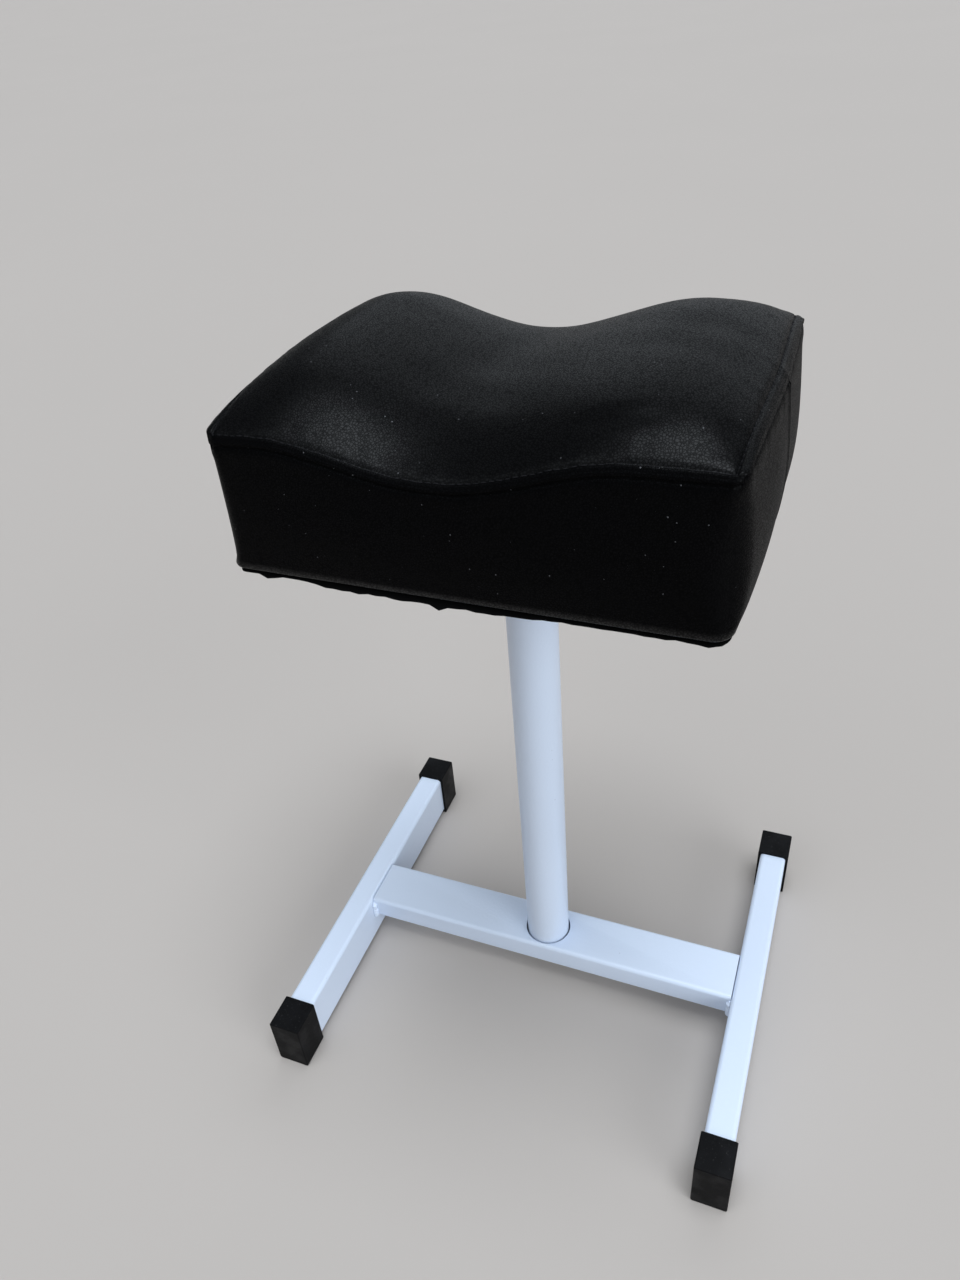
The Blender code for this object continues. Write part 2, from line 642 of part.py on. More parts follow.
def add_board(assembly, slots):
    """Plywood board with holes for the tee nuts and slots for the staples."""
    outline = foot_outline(COVER_INSET)
    place = Matrix.Translation((0.0, 0.0, (BOARD_BOTTOM + BOARD_TOP) / 2))
    board = extruded("base_board", [outline], BOARD_THICKNESS, place)
    assembly.cut(board, assembly.cutter(screw_holes("tee_nut_holes", TEE_NUT_BARREL + 2 * FIT_GAP)))
    recess = TEE_NUT_FLANGE_DIAMETER + 2 * FIT_GAP
    recesses = [drum("tee_nut_recess", recess, TEE_NUT_SEAT - FIT_GAP, BOARD_TOP + CUT_OVERSHOOT,
                     place, SMALL_ROUND_STEPS) for place in screw_places().values()]
    assembly.cut(board, assembly.cutter(merged("tee_nut_recesses", recesses)))
    assembly.cut(board, slots)
    assembly.add(board, assembly.swivel, PLYWOOD)


def add_pad(assembly, slots):
    """Foam, the sewn cover over it, and the lining and staples below."""
    foam_sides = [foot_ring(COVER_INSET, FOAM_BOTTOM)] + side_rings(COVER_INSET, COVER_INSET)
    foam = loft("foam_block", foam_sides + crown_rings(COVER_INSET)[1:], False)
    assembly.add(foam, assembly.swivel, FOAM)

    panel_below = crown_rings(COVER_THICKNESS)
    panel = loft("cover_top_panel", panel_below[::-1] + crown_rings(0.0), False)
    assembly.add(panel, assembly.swivel, BLACK_VINYL)

    hem_top = HEM_BOTTOM + COVER_THICKNESS
    band_drop = COVER_THICKNESS + FIT_GAP
    outside = [foot_ring(0.0, HEM_BOTTOM), foot_ring(0.0, BOARD_TOP)] + side_rings(0.0, band_drop)
    inside = [foot_ring(COVER_THICKNESS, hem_top), foot_ring(COVER_THICKNESS, BOARD_TOP)]
    inside += side_rings(COVER_THICKNESS, band_drop)
    hem = [foot_ring(HEM_WIDTH, HEM_BOTTOM), foot_ring(HEM_WIDTH, hem_top)]
    band = loft("cover_side_band", outside[::-1] + hem + inside, True)
    assembly.cut(band, slots)
    assembly.add(band, assembly.swivel, BLACK_VINYL)

    lining_outline = foot_outline(LINING_MARGIN)
    lining_place = Matrix.Translation((0.0, 0.0, LINING_BOTTOM + LINING_THICKNESS / 2))
    lining = extruded("underside_lining", [lining_outline], LINING_THICKNESS, lining_place)
    assembly.cut(lining, assembly.cutter(screw_holes("lining_screw_holes", SCREW_HOLE)))
    assembly.cut(lining, slots)
    assembly.add(lining, assembly.swivel, BLACK_CLOTH)

    for number, (x, y, angle) in enumerate(staple_places(), start=1):
        assembly.add(staple(f"staple_{number:02d}", x, y, angle), assembly.swivel, ZINC)


def main():
    """Build the footrest."""
    clear_scene()
    assembly = Assembly()
    add_legs(assembly)
    add_crossbar(assembly)
    add_weld_beads(assembly)
    add_caps(assembly)
    add_pivot(assembly)
    add_post(assembly)
    add_plate_fixings(assembly)
    slots = assembly.cutter(staple_slots("staple_slots"))
    add_board(assembly, slots)
    add_pad(assembly, slots)


main()
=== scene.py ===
"""Looks of a saddle-shaped pedicure footrest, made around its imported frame.

Laid out as an add-on and run as a script. Metres, +Z up, X along the crossbar, -Y to the front.
"""

import math

import bmesh
import bpy
import numpy as np
from bpy.props import FloatProperty, FloatVectorProperty, PointerProperty
from mathutils import Matrix, Vector


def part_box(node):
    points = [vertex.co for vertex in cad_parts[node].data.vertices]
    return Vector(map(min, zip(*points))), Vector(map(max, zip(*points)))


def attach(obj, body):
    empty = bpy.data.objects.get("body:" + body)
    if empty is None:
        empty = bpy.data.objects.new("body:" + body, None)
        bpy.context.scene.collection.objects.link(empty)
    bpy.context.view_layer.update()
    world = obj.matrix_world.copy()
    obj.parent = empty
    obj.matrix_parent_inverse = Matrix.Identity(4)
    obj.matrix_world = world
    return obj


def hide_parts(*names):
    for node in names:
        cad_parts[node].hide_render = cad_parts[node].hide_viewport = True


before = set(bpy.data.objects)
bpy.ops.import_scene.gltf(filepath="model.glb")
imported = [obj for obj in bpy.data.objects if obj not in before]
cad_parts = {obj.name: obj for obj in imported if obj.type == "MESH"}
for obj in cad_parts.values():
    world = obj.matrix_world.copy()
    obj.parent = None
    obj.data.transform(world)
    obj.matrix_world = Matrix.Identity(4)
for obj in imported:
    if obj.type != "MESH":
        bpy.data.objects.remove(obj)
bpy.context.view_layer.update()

bl_info = {
    "name": "Pedicure Footrest",
    "version": (1, 0, 0),
    "blender": (4, 5, 0),
    "location": "View3D > Sidebar > Footrest",
    "description": "Makes the visible pieces of a padded footrest around its frame",
    "category": "Object",
}

BASE = "base"
UPPER = "post_and_pad"
CORNERS = ("front_left", "front_right", "rear_left", "rear_right")

# Places of the frame's own pieces
PANEL_LOW, PANEL_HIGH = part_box("cover_top_panel")
BOARD_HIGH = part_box("base_board")[1]
PAD_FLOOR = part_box("cover_side_band")[0].z
LINING_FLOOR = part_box("underside_lining")[0].z
POST_LOW, POST_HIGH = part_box("post_tube")

QUARTER = math.pi / 2
SMOOTH_ANGLE = math.radians(35)
BEVEL_ANGLE = math.radians(60)
MERGE_DISTANCE = 0.00001
CORNER_STEPS = 8
CORNER_FLAT = 0.0004
ROUND_STEPS = 96


def length(name, description, default):
    """Length in metres that a user may set."""
    return FloatProperty(name=name, description=description, default=default,
                         unit="LENGTH", precision=5)


def share(name, description, default):
    """Plain number that a user may set."""
    return FloatProperty(name=name, description=description, default=default, precision=4)


def colour(name, description, default):
    """Linear colour that a user may set."""
    return FloatVectorProperty(name=name, description=description, default=default,
                               subtype="COLOR", size=3, min=0.0, max=1.0)


class PadSizes(bpy.types.PropertyGroup):
    """Sizes of the sewn pad."""

    seam_length: length("Seam length", "Length of the top panel", PANEL_HIGH.x - PANEL_LOW.x)
    seam_depth: length("Seam depth", "Depth of the top panel", PANEL_HIGH.y - PANEL_LOW.y)
    seam_corner: length("Seam corner", "Corner radius of the top seam", 0.006)
    seam_level: length("Seam level", "Height of the top seam at the pad's ends", 0.5002)
    corner_pull: length("Corner pull", "How far corners are drawn in along the pad", 0.0032)
    depth_pull: length("Pull in depth", "How far corners are drawn in front to back", 0.0015)
    front_drop: length("Front drop", "How far the seam lies below the front fold", 0.0028)
    rear_drop: length("Rear drop", "How far the seam lies below the rear fold", 0.0050)
    drop_width: length("Drop width", "Width of those folds", 0.0027)
    corner_drop: length("Corner drop", "Lower seam at all but the front right corner", 0.0018)
    rear_shoulder: length("Rear shoulder", "How far rear corners are drawn down", 0.0026)
    front_left_shoulder: length("Front left shoulder", "How far it is drawn down", 0.0056)
    front_right_shoulder: length("Front right shoulder", "How far it is drawn down", 0.0020)
    left_waist: length("Left waist", "How far left corners draw in above the board", 0.0026)
    left_bulge: length("Left bulge", "How far the left end stands out low down", 0.0020)
    right_bulge: length("Right bulge", "How far the right end stands out low down", 0.0042)
    corner_swell: length("Corner swell", "Rounder front right corner at half height", 0.010)
    foot_pull: length("Foot pull", "How far lower corners are drawn in along the pad", 0.0024)
    foot_inset: length("Cover on board", "How far the cover is off the board's edge", 0.0022)
    left_foot_corner: length("Left foot corner", "Corner radius, low on the left", 0.006)
    right_foot_corner: length("Right foot corner", "Corner radius, low on the right", 0.009)
    roll_radius: length("Roll", "Radius where the cover turns under the board", 0.0028)
    hem_width: length("Hem", "Width of the cover turned under the board", 0.026)
    end_rise: length("End rise", "How much higher the right end is than the left", 0.003)
    valley_depth: length("Valley depth", "Depth of the hollow across the top", 0.020)
    valley_width: length("Valley width", "Width of the hollow across the top", 0.192)
    valley_shift: length("Valley shift", "Place of the hollow along the pad", -0.008)
    crown_height: length("Crown", "Rise of the top above its seam", 0.0202)
    crown_left: share("Left fullness", "How late the crown falls to the left end", 7.6)
    crown_right: share("Right fullness", "How late the crown falls to the right end", 10.0)
    crown_front_left: share("Front left fullness", "How late it falls to the front there", 2.8)
    crown_front_right: share("Front right fullness", "How late it falls to the front there", 4.0)
    crown_rear: share("Rear fullness", "How late the crown falls to the back", 4.0)
    swell_cap: length("Swell cap", "The most that the cover may move as it swells", 0.0045)
    end_stitch_inset: length("End stitch inset", "From seam to stitches at the ends", 0.0042)
    front_stitch_inset: length("Front stitch inset", "The same at front and rear", 0.0022)
    stitch_pitch: length("Stitch pitch", "Distance from one stitch to the next", 0.0040)
    stitch_length: length("Stitch length", "Length of one stitch", 0.0027)
    thread_radius: length("Thread radius", "Radius of the sewing thread", 0.00030)
    lip_height: length("Seam lip", "Height of the strip from seam to stitches", 0.0006)
    lip_overhang: length("Lip overhang", "How far the strip stands over the band", 0.0007)
    groove_depth: length("Seam groove", "Depth of the groove under the strip", 0.0010)
    join_y: length("Band join", "Place of the side band's join on the right end", 0.004)
    crease_depth: length("Crease", "Depth of the crease on the right hump", 0.0008)
    lining_droop: length("Lining droop", "How far the lining's raw front edge hangs", 0.0036)


class BaseSizes(bpy.types.PropertyGroup):
    """Sizes of the base, post and fixings that only the looks need."""

    tube_wall: length("Tube wall", "Wall of the base's tubes", 0.0015)
    tube_corner: length("Tube corner", "Outside corner radius of the base's tubes", 0.003)
    post_wall: length("Post wall", "Wall of the post", 0.0015)
    hole_clearance: length("Hole clearance", "Gap round the post in the crossbar", 0.0012)
    hole_edge: length("Hole edge", "Rounding of the paint on the hole's edge", 0.0004)
    cap_corner: length("Cap corner", "Corner radius of the foot caps", 0.0011)
    cap_edge: length("Cap edge", "Rounding of the foot caps' end", 0.0008)
    cap_wall: length("Cap wall", "Wall of the foot caps", 0.0017)
    bead_size: length("Weld bead", "Leg length of the weld beads", 0.0029)
    bead_ripple: length("Weld ripple", "Distance between ripples of the weld beads", 0.0030)
    plate_edge: length("Plate edge", "Rounding of the top plate's edges", 0.0006)
    plate_corner: length("Plate corner", "Corner radius of the top plate", 0.008)


class Colours(bpy.types.PropertyGroup):
    """Colours of the finishes."""

    paint: colour("Paint", "Powder coat of the tubes", (0.730, 0.820, 0.968))
    vinyl: colour("Vinyl", "Cover of the pad", (0.0012, 0.0012, 0.0015))
    thread: colour("Thread", "Sewing thread", (0.0040, 0.0040, 0.0048))
    plastic: colour("Plastic", "Foot caps", (0.0036, 0.0036, 0.0042))
    lining: colour("Lining", "Cloth under the pad", (0.0009, 0.0009, 0.0009))
    zinc: colour("Zinc", "Plated fixings", (0.60, 0.60, 0.585))
    plywood: colour("Plywood", "Board of the pad", (0.52, 0.36, 0.20))
    nylon: colour("Nylon", "Slip washer", (0.74, 0.73, 0.67))
    floor: colour("Floor", "Plain ground under the footrest", (0.515, 0.47, 0.435))


class StageSettings(bpy.types.PropertyGroup):
    """Camera and light."""

    camera_place: FloatVectorProperty(
        name="Camera place", description="Where the camera stands", size=3,
        default=(0.16986, -0.45406, 0.68649), subtype="TRANSLATION")
    camera_turn: FloatVectorProperty(
        name="Camera turn", description="Turn of the camera", size=3,
        default=(0.931015, 0.075402, 0.369724), subtype="EULER")
    camera_lens: share("Lens", "Focal length on a 36 mm long side, in mm", 27.4315)
    floor_radius: length("Floor radius", "Radius of the ground", 40.0)
    key_strength: share("Overhead light", "Strength of the soft light from above", 1.95)
    back_strength: share("Back light", "Strength of the soft light from behind", 0.58)
    side_strength: share("Side light", "Strength of the soft light from the right", 1.6)
    front_strength: share("Front light", "Strength of the soft light from the front", 0.68)
    sky_strength: share("Sky", "Strength of the even light from all round", 0.16)
    backdrop: colour("Backdrop", "What is seen above the ground", (0.54, 0.53, 0.515))
    light_tint: colour("Light tint", "Colour of the soft lights", (0.87, 0.935, 1.0))


class FootrestSettings(bpy.types.PropertyGroup):
    """All that a user may set."""

    pad: PointerProperty(type=PadSizes)
    base: PointerProperty(type=BaseSizes)
    colours: PointerProperty(type=Colours)
    stage: PointerProperty(type=StageSettings)


def settings():
    """The scene's settings."""
    return bpy.context.scene.footrest


# Node graphs


class Signal:
    """Output of a node; arithmetic on it adds Math nodes to its graph."""

    def __init__(self, graph, socket):
        self.graph = graph
        self.socket = socket

    def math(self, operation, first, second):
        """Math node on two values."""
        return self.graph.node("ShaderNodeMath", {0: first, 1: second}, operation=operation)

    def __add__(self, other):
        return self.math("ADD", self, other)

    def __rsub__(self, other):
        return self.math("SUBTRACT", other, self)

    def __mul__(self, other):
        return self.math("MULTIPLY", self, other)

    def __lt__(self, other):
        return self.math("LESS_THAN", self, other)


class Graph:
    """Node tree that is being written."""

    def __init__(self, tree):
        self.tree = tree

    def node(self, kind, sockets=None, output=0, **node_settings):
        """Add a node: its settings first, then the values or links of its sockets."""
        node = self.tree.nodes.new(kind)
        for key, value in node_settings.items():
            setattr(node, key, value)
        for key, value in (sockets or {}).items():
            self.feed(node.inputs[key], value)
        return Signal(self, node.outputs[output])

    def feed(self, socket, value):
        """Link a signal to a socket, or set the socket's value."""
        if isinstance(value, Signal):
            self.tree.links.new(value.socket, socket)
        elif socket.type == "RGBA":
            socket.default_value = (*value[:3], 1.0)
        else:
            socket.default_value = value


def tinted(tone, factor):
    """Colour made lighter or darker by a factor."""
    return tuple(min(channel * factor, 1.0) for channel in tone)


class Finish(Graph):
    """Material that is being written round a Principled shader."""

    def __init__(self, name):
        self.material = bpy.data.materials.new(name)
        self.material.use_nodes = True
        super().__init__(self.material.node_tree)

    def shade(self, sockets):
        """Set the shader's sockets, or let signals vary them."""
        for key, value in sockets.items():
            self.feed(self.tree.nodes["Principled BSDF"].inputs[key], value)

    def place(self, stretch=None):
        """The piece's own coordinates, stretched along its axes where asked."""
        point = self.node("ShaderNodeTexCoord", output="Object")
        if stretch is None:
            return point
        return self.node("ShaderNodeMapping", {"Vector": point, "Scale": stretch})

    def noise(self, scale, detail=2.0, point=None):
        """Soft noise from 0 to 1, with a scale in features per metre."""
        sockets = {"Vector": point or self.place(), "Scale": scale, "Detail": detail}
        return self.node("ShaderNodeTexNoise", sockets)

    def streaks(self, detail, stretch):
        """Soft noise with its own scale along each axis."""
        return self.noise(1.0, detail, self.place(stretch))

    def cells(self, scale, output="Distance", point=None, **node_settings):
        """Cell pattern, with a scale in cells per metre."""
        sockets = {"Vector": point or self.place(), "Scale": scale}
        return self.node("ShaderNodeTexVoronoi", sockets, output, **node_settings)

    def specks(self, scale, low, high, size):
        """Mask of specks in the cells whose tone is above low, and the cells' tones."""
        tone = self.node("ShaderNodeSeparateColor", {0: self.cells(scale, "Color")})
        return self.cells(scale) < self.step(tone, low, high) * size, tone

    def wave(self, scale, **node_settings):
        """Bands or rings from 0 to 1."""
        sockets = {"Vector": self.place(), "Scale": scale, "Distortion": 0.0}
        return self.node("ShaderNodeTexWave", sockets, **node_settings)

    def step(self, signal, low, high):
        """Smooth step from 0 at low to 1 at high."""
        sockets = {0: signal, 1: low, 2: high, 3: 0.0, 4: 1.0}
        return self.node("ShaderNodeMapRange", sockets, interpolation_type="SMOOTHSTEP")

    def blend(self, mask, first, second):
        """Colour that goes from first to second with the mask."""
        return self.node("ShaderNodeMix", {0: mask, 6: first, 7: second}, 2, data_type="RGBA")

    def shades(self, mask, tone, low, high):
        """Colour that goes from one tint of a tone to another with the mask."""
        return self.blend(mask, tinted(tone, low), tinted(tone, high))

    def bump(self, height, distance):
        """Let a height from 0 to 1 shape the surface by a real distance."""
        sockets = {"Strength": 1.0, "Distance": distance, "Height": height}
        self.shade({"Normal": self.node("ShaderNodeBump", sockets)})


# Finishes

GLOSS = "gloss"
VINYL_DUST = (0.34, 0.34, 0.36)
PLASTIC_DUST = (0.16, 0.16, 0.15)


def white_paint(finish, tones):
    """White powder coat: faint orange peel, soft clouds of gloss and a few dark nibs."""
    clouds = finish.noise(9.0, 1.0)
    nibs, _ = finish.specks(150.0, 0.70, 1.0, 0.055)
    clean = finish.shades(clouds, tones.paint, 0.975, 1.02)
    finish.shade({"Specular IOR Level": 0.5,
                  "Base Color": finish.blend(nibs * 0.5, clean, tinted(tones.paint, 0.35)),
                  "Roughness": clouds * 0.10 + nibs * 0.2 + 0.285})
    finish.bump(finish.noise(430.0, 1.0) + finish.noise(1500.0, 1.0) * 0.2, 0.00009)


def grained_vinyl(finish, tones):
    """Grained vinyl with pores, clouds of gloss and a little dust; the top has more gloss."""
    bend = finish.node("ShaderNodeTexNoise", {"Vector": finish.place(), "Scale": 520.0}, 1)
    shift = finish.node("ShaderNodeVectorMath", {0: bend, "Scale": 0.0009}, operation="SCALE")
    bent = finish.node("ShaderNodeVectorMath", {0: finish.place(), 1: shift}, operation="ADD")
    pebbles = finish.step(finish.cells(740.0, point=bent, feature="DISTANCE_TO_EDGE"), 0.0, 0.28)
    clouds = finish.noise(26.0, 3.0)
    dust, dust_tone = finish.specks(230.0, 0.40, 0.95, 0.085)
    worn = finish.shades(clouds, tones.vinyl, 0.8, 1.35)
    grained = finish.blend(pebbles, tinted(tones.vinyl, 0.6), worn)
    gloss = finish.node("ShaderNodeAttribute", output="Fac", attribute_name=GLOSS)
    finish.shade({"Specular IOR Level": 0.024, "Coat Roughness": 0.32, "Coat IOR": 1.5,
                  "Base Color": finish.blend(dust * dust_tone * 0.3, grained, VINYL_DUST),
                  "Roughness": clouds * 0.12 + (1 - pebbles) * 0.16 + dust * 0.3 + 0.36,
                  "Coat Weight": gloss * (clouds * 0.3 + 0.7) * (pebbles * 1.1 + 0.45)})
    finish.bump(pebbles * 0.8 + finish.noise(3600.0, 1.0) * 0.2, 0.00014)


def sewing_thread(finish, tones):
    """Black sewing thread with its twist."""
    twist = finish.wave(1400.0, bands_direction="DIAGONAL")
    finish.shade({"Specular IOR Level": 0.15,
                  "Base Color": finish.shades(twist, tones.thread, 0.7, 3.2),
                  "Roughness": finish.noise(6000.0) * 0.2 + 0.38})
    finish.bump(twist, 0.00008)


def moulded_plastic(finish, tones):
    """Moulded black plastic: fine spark texture, rubbed smoother in places."""
    spark = finish.noise(2600.0)
    rubbed = finish.step(finish.noise(60.0, 3.0), 0.42, 0.66)
    dusty = finish.step(finish.noise(900.0, 3.0), 0.63, 0.75) * 0.16
    plain = finish.shades(rubbed, tones.plastic, 0.8, 1.5)
    finish.shade({"Specular IOR Level": 0.09,
                  "Base Color": finish.blend(dusty, plain, PLASTIC_DUST),
                  "Roughness": 0.52 - rubbed * 0.14 + spark * 0.1})
    finish.bump(spark, 0.00004)


def spunbond_cloth(finish, tones):
    """Thin black spunbond cloth with its lattice of bonded dots."""
    dots = finish.step(finish.cells(820.0), 0.18, 0.34)
    fibres = finish.streaks(4.0, (2400.0, 900.0, 900.0))
    finish.shade({"Specular IOR Level": 0.1,
                  "Base Color": finish.shades(fibres * dots, tones.lining, 0.6, 2.6),
                  "Roughness": fibres * 0.15 + 0.8})
    finish.bump(dots * 0.7 + fibres * 0.3, 0.00012)


def zinc_plating(finish, tones):
    """Bright zinc plating with a faint cloud of passivation."""
    clouds = finish.noise(300.0, 3.0)
    scratches = finish.streaks(2.0, (3000.0, 300.0, 300.0))
    finish.shade({"Metallic": 1.0,
                  "Base Color": finish.shades(clouds, tones.zinc, 0.8, 1.12),
                  "Roughness": clouds * 0.16 + scratches * 0.10 + 0.285})
    finish.bump(scratches, 0.00002)


def sawn_plywood(finish, tones):
    """Sawn plywood: long grain, and plies that show on the edge."""
    grain = finish.streaks(4.0, (14.0, 260.0, 260.0))
    plies = finish.wave(78.0, bands_direction="Z")
    toned = finish.shades(grain, tones.plywood, 0.62, 1.15)
    finish.shade({"Specular IOR Level": 0.3,
                  "Base Color": finish.blend(plies * 0.4, toned, tinted(tones.plywood, 0.5)),
                  "Roughness": grain * 0.2 + 0.6})
    finish.bump(grain, 0.0002)


def turned_nylon(finish, tones):
    """Milky nylon, turned smooth."""
    rings = finish.wave(600.0, wave_type="RINGS", rings_direction="Z")
    finish.shade({"Specular IOR Level": 0.5,
                  "Base Color": finish.shades(finish.noise(200.0), tones.nylon, 0.9, 1.05),
                  "Roughness": rings * 0.1 + 0.4})
    finish.bump(rings, 0.00003)


def plain_ground(finish, tones):
    """Plain dull ground with faint patches."""
    patches = finish.noise(1.2)
    finish.shade({"Roughness": 0.9, "Specular IOR Level": 0.1,
                  "Base Color": finish.shades(patches, tones.floor, 0.985, 1.015)})


def material(builder):
    """The material that a builder writes, made once and named after it."""
    made = bpy.data.materials.get(builder.__name__)
    if made is None:
        finish = Finish(builder.__name__)
        builder(finish, settings().colours)
        made = finish.material
    return made


# Mesh tools


def smooth(mesh):
    """Shade a mesh smooth between its sharp edges."""
    mesh.shade_smooth()
    mesh.set_sharp_from_angle(angle=SMOOTH_ANGLE)
    return mesh


def skinned(rings, ring_shaped=False):
    """Mesh over equal closed rings; the ends are closed, or meet as a ring."""
    bm = bmesh.new()
    layers = [[bm.verts.new(point) for point in ring] for ring in rings]
    pairs = list(zip(layers, layers[1:]))
    if ring_shaped:
        pairs.append((layers[-1], layers[0]))
    else:
        bm.faces.new(layers[0])
        bm.faces.new(layers[-1])
    for lower, upper in pairs:
        for index, corner in enumerate(lower):
            following = (index + 1) % len(lower)
            bm.faces.new((corner, lower[following], upper[following], upper[index]))
    bmesh.ops.remove_doubles(bm, verts=bm.verts, dist=MERGE_DISTANCE)
    bmesh.ops.recalc_face_normals(bm, faces=bm.faces)
    mesh = bpy.data.meshes.new("in_work")
    bm.to_mesh(mesh)
    bm.free()
    return smooth(mesh)


def toward(angle):
    """Flat direction at an angle."""
    return Vector((math.cos(angle), math.sin(angle)))


def section(wide, high, corner):
    """Points round a rectangle with arcs for corners and a short flat beside each arc."""
    points = []
    for index, (right, up) in enumerate(((1, 1), (-1, 1), (-1, -1), (1, -1))):
        centre = Vector(((wide / 2 - corner) * right, (high / 2 - corner) * up))
        start = QUARTER * index
        arc = [centre + corner * toward(start + QUARTER * turn / CORNER_STEPS)
               for turn in range(CORNER_STEPS + 1)]
        before = arc[0] - CORNER_FLAT * toward(start + QUARTER)
        after = arc[-1] + CORNER_FLAT * toward(start + 2 * QUARTER)
        points += [before, *arc, after]
    return points


def ring_across(outline, middle, axis, place):
    """Upright ring: a flat outline about a middle, at a place along X (0) or Y (1)."""
    ring = []
    for point in outline:
        corner = Vector((middle.x + point.x, middle.y + point.x, middle.z + point.y))
        corner[axis] = place
        ring.append(corner)
    return ring


def circle(radius, height, steps=ROUND_STEPS, centre=(0.0, 0.0)):
    """Level ring of points."""
    angles = [2 * math.pi * step / steps for step in range(steps)]
    return [Vector((centre[0] + radius * math.cos(angle),
                    centre[1] + radius * math.sin(angle), height)) for angle in angles]


def turned(profile, ring_shaped=False, steps=ROUND_STEPS, centre=(0.0, 0.0)):
    """Turned mesh from (radius, height) points about an upright axis."""
    return skinned([circle(*point, steps, centre) for point in profile], ring_shaped)


def linked(name, data):
    """Object of a mesh, light or camera, in the scene."""
    data.name = name
    item = bpy.data.objects.new(name, data)
    bpy.context.scene.collection.objects.link(item)
    return item


def evaluated_mesh(item):
    """Plain mesh of an object with its modifiers taken in; the object is removed."""
    depsgraph = bpy.context.evaluated_depsgraph_get()
    mesh = bpy.data.meshes.new_from_object(item.evaluated_get(depsgraph))
    mesh.transform(item.matrix_world)
    bpy.data.objects.remove(item, do_unlink=True)
    return mesh


def carved(mesh, cutters, edge=0.0):
    """Mesh less the shapes of its cutters, with sharp edges rounded where asked."""
    item = linked("in_work", mesh)
    tools = [linked("cutter", cutter) for cutter in cutters]
    for tool in tools:
        boolean = item.modifiers.new("Cut", "BOOLEAN")
        boolean.operation = "DIFFERENCE"
        boolean.solver = "EXACT"
        boolean.use_self = True
        boolean.object = tool
    if edge:
        bevel = item.modifiers.new("Paint edge", "BEVEL")
        bevel.width = edge
        bevel.segments = 2
        bevel.limit_method = "ANGLE"
        bevel.angle_limit = BEVEL_ANGLE
    made = evaluated_mesh(item)
    for tool in tools:
        bpy.data.objects.remove(tool, do_unlink=True)
    return smooth(made)


def dress(mesh, builder):
    """Give a mesh one finish."""
    mesh.materials.clear()
    mesh.materials.append(material(builder))


def dress_nodes(builder, *nodes):
    """Give frame nodes that keep their shape a finish."""
    for node in nodes:
        dress(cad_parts[node].data, builder)


def add_piece(name, mesh, builder, body, *nodes):
    """Finished piece on its body, in place of the frame's nodes that it stands for."""
    if not mesh.polygons:
        raise RuntimeError(f"{name} came out empty")
    dress(mesh, builder)
    piece = linked(name, mesh)
    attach(piece, body)
    if nodes:
        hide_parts(*nodes)
    return piece


def extent(node):
    """Low corner, high corner, middle and size of a frame node."""
    low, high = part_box(node)
    return low, high, (low + high) / 2, high - low


# Curves and grids


def blended(first, second, part):
    """Value part of the way from first to second."""
    return first + (second - first) * part


def ramp(value, start, width):
    """Straight rise from 0 to 1 over a width."""
    return np.clip((value - start) / width, 0.0, 1.0)


def eased(part):
    """Smooth step of a part from 0 to 1."""
    return part ** 2 * (3 - 2 * part)


def bell(distance, height, place, width):
    """Bell curve of a height at a place."""
    return height * np.exp(-((distance - place) / width) ** 2)


def waver(along, *periods):
    """Smooth uneven wave from about -1 to 1, the same each time."""
    waves = [np.sin(2 * np.pi * along / period + 1.7 * index)
             for index, period in enumerate(periods)]
    return sum(waves) / len(periods)


def run_length(points):
    """Distance along a line to each of its points."""
    steps = np.linalg.norm(np.diff(points, axis=0), axis=1)
    return np.concatenate(([0.0], np.cumsum(steps)))


def between(old, new):
    """Index and share that place each new value among the old ones."""
    index = np.clip(np.searchsorted(old, new, side="right") - 1, 0, len(old) - 2)
    return index, (new - old[index]) / (old[index + 1] - old[index])


def resampled(field, old_rows, old_columns, rows, columns):
    """A field on one grid read off at the lines of another."""
    i, a = between(old_rows, rows)
    j, b = between(old_columns, columns)
    a, b = a[:, None, None], b[None, :, None]
    across = blended(field[i], field[i + 1], a)
    return blended(across[:, j], across[:, j + 1], b)


def smoothed(field, rounds):
    """A grid's field with its inner values evened out among their neighbours."""
    for _ in range(rounds):
        inner = (field[:-2, 1:-1] + field[2:, 1:-1] + field[1:-1, :-2] + field[1:-1, 2:]) / 4
        field = field.copy()
        field[1:-1, 1:-1] = (field[1:-1, 1:-1] + inner) / 2
    return field


def grid_quads(number):
    """Faces of a grid of vertex numbers."""
    corners = (number[:-1, :-1], number[1:, :-1], number[1:, 1:], number[:-1, 1:])
    return np.stack(corners, axis=-1).reshape(-1, 4).tolist()


def rim_indices(count_u, count_v):
    """Grid places round the border of a grid, anticlockwise from its front left corner."""
    front = [(i, 0) for i in range(count_u - 1)]
    right = [(count_u - 1, j) for j in range(count_v - 1)]
    rear = [(i, count_v - 1) for i in range(count_u - 1, 0, -1)]
    left = [(0, j) for j in range(count_v - 1, 0, -1)]
    return np.array(front + right + rear + left)


def edge_stations(half, edge_insets, step, extra=()):
    """Square coordinates across the pad: close together at both edges and at extra places."""
    insets = np.array(edge_insets)
    inner = half - insets[-1]
    count = max(int(round(2 * inner / step)), 2)
    middle = np.linspace(-inner, inner, count + 1)[1:-1]
    for place in extra:
        middle = middle[np.abs(middle - place) > step * 0.6]
    stations = np.concatenate((-half + insets, middle, np.array(extra), half - insets[::-1]))
    return np.sort(stations) / half


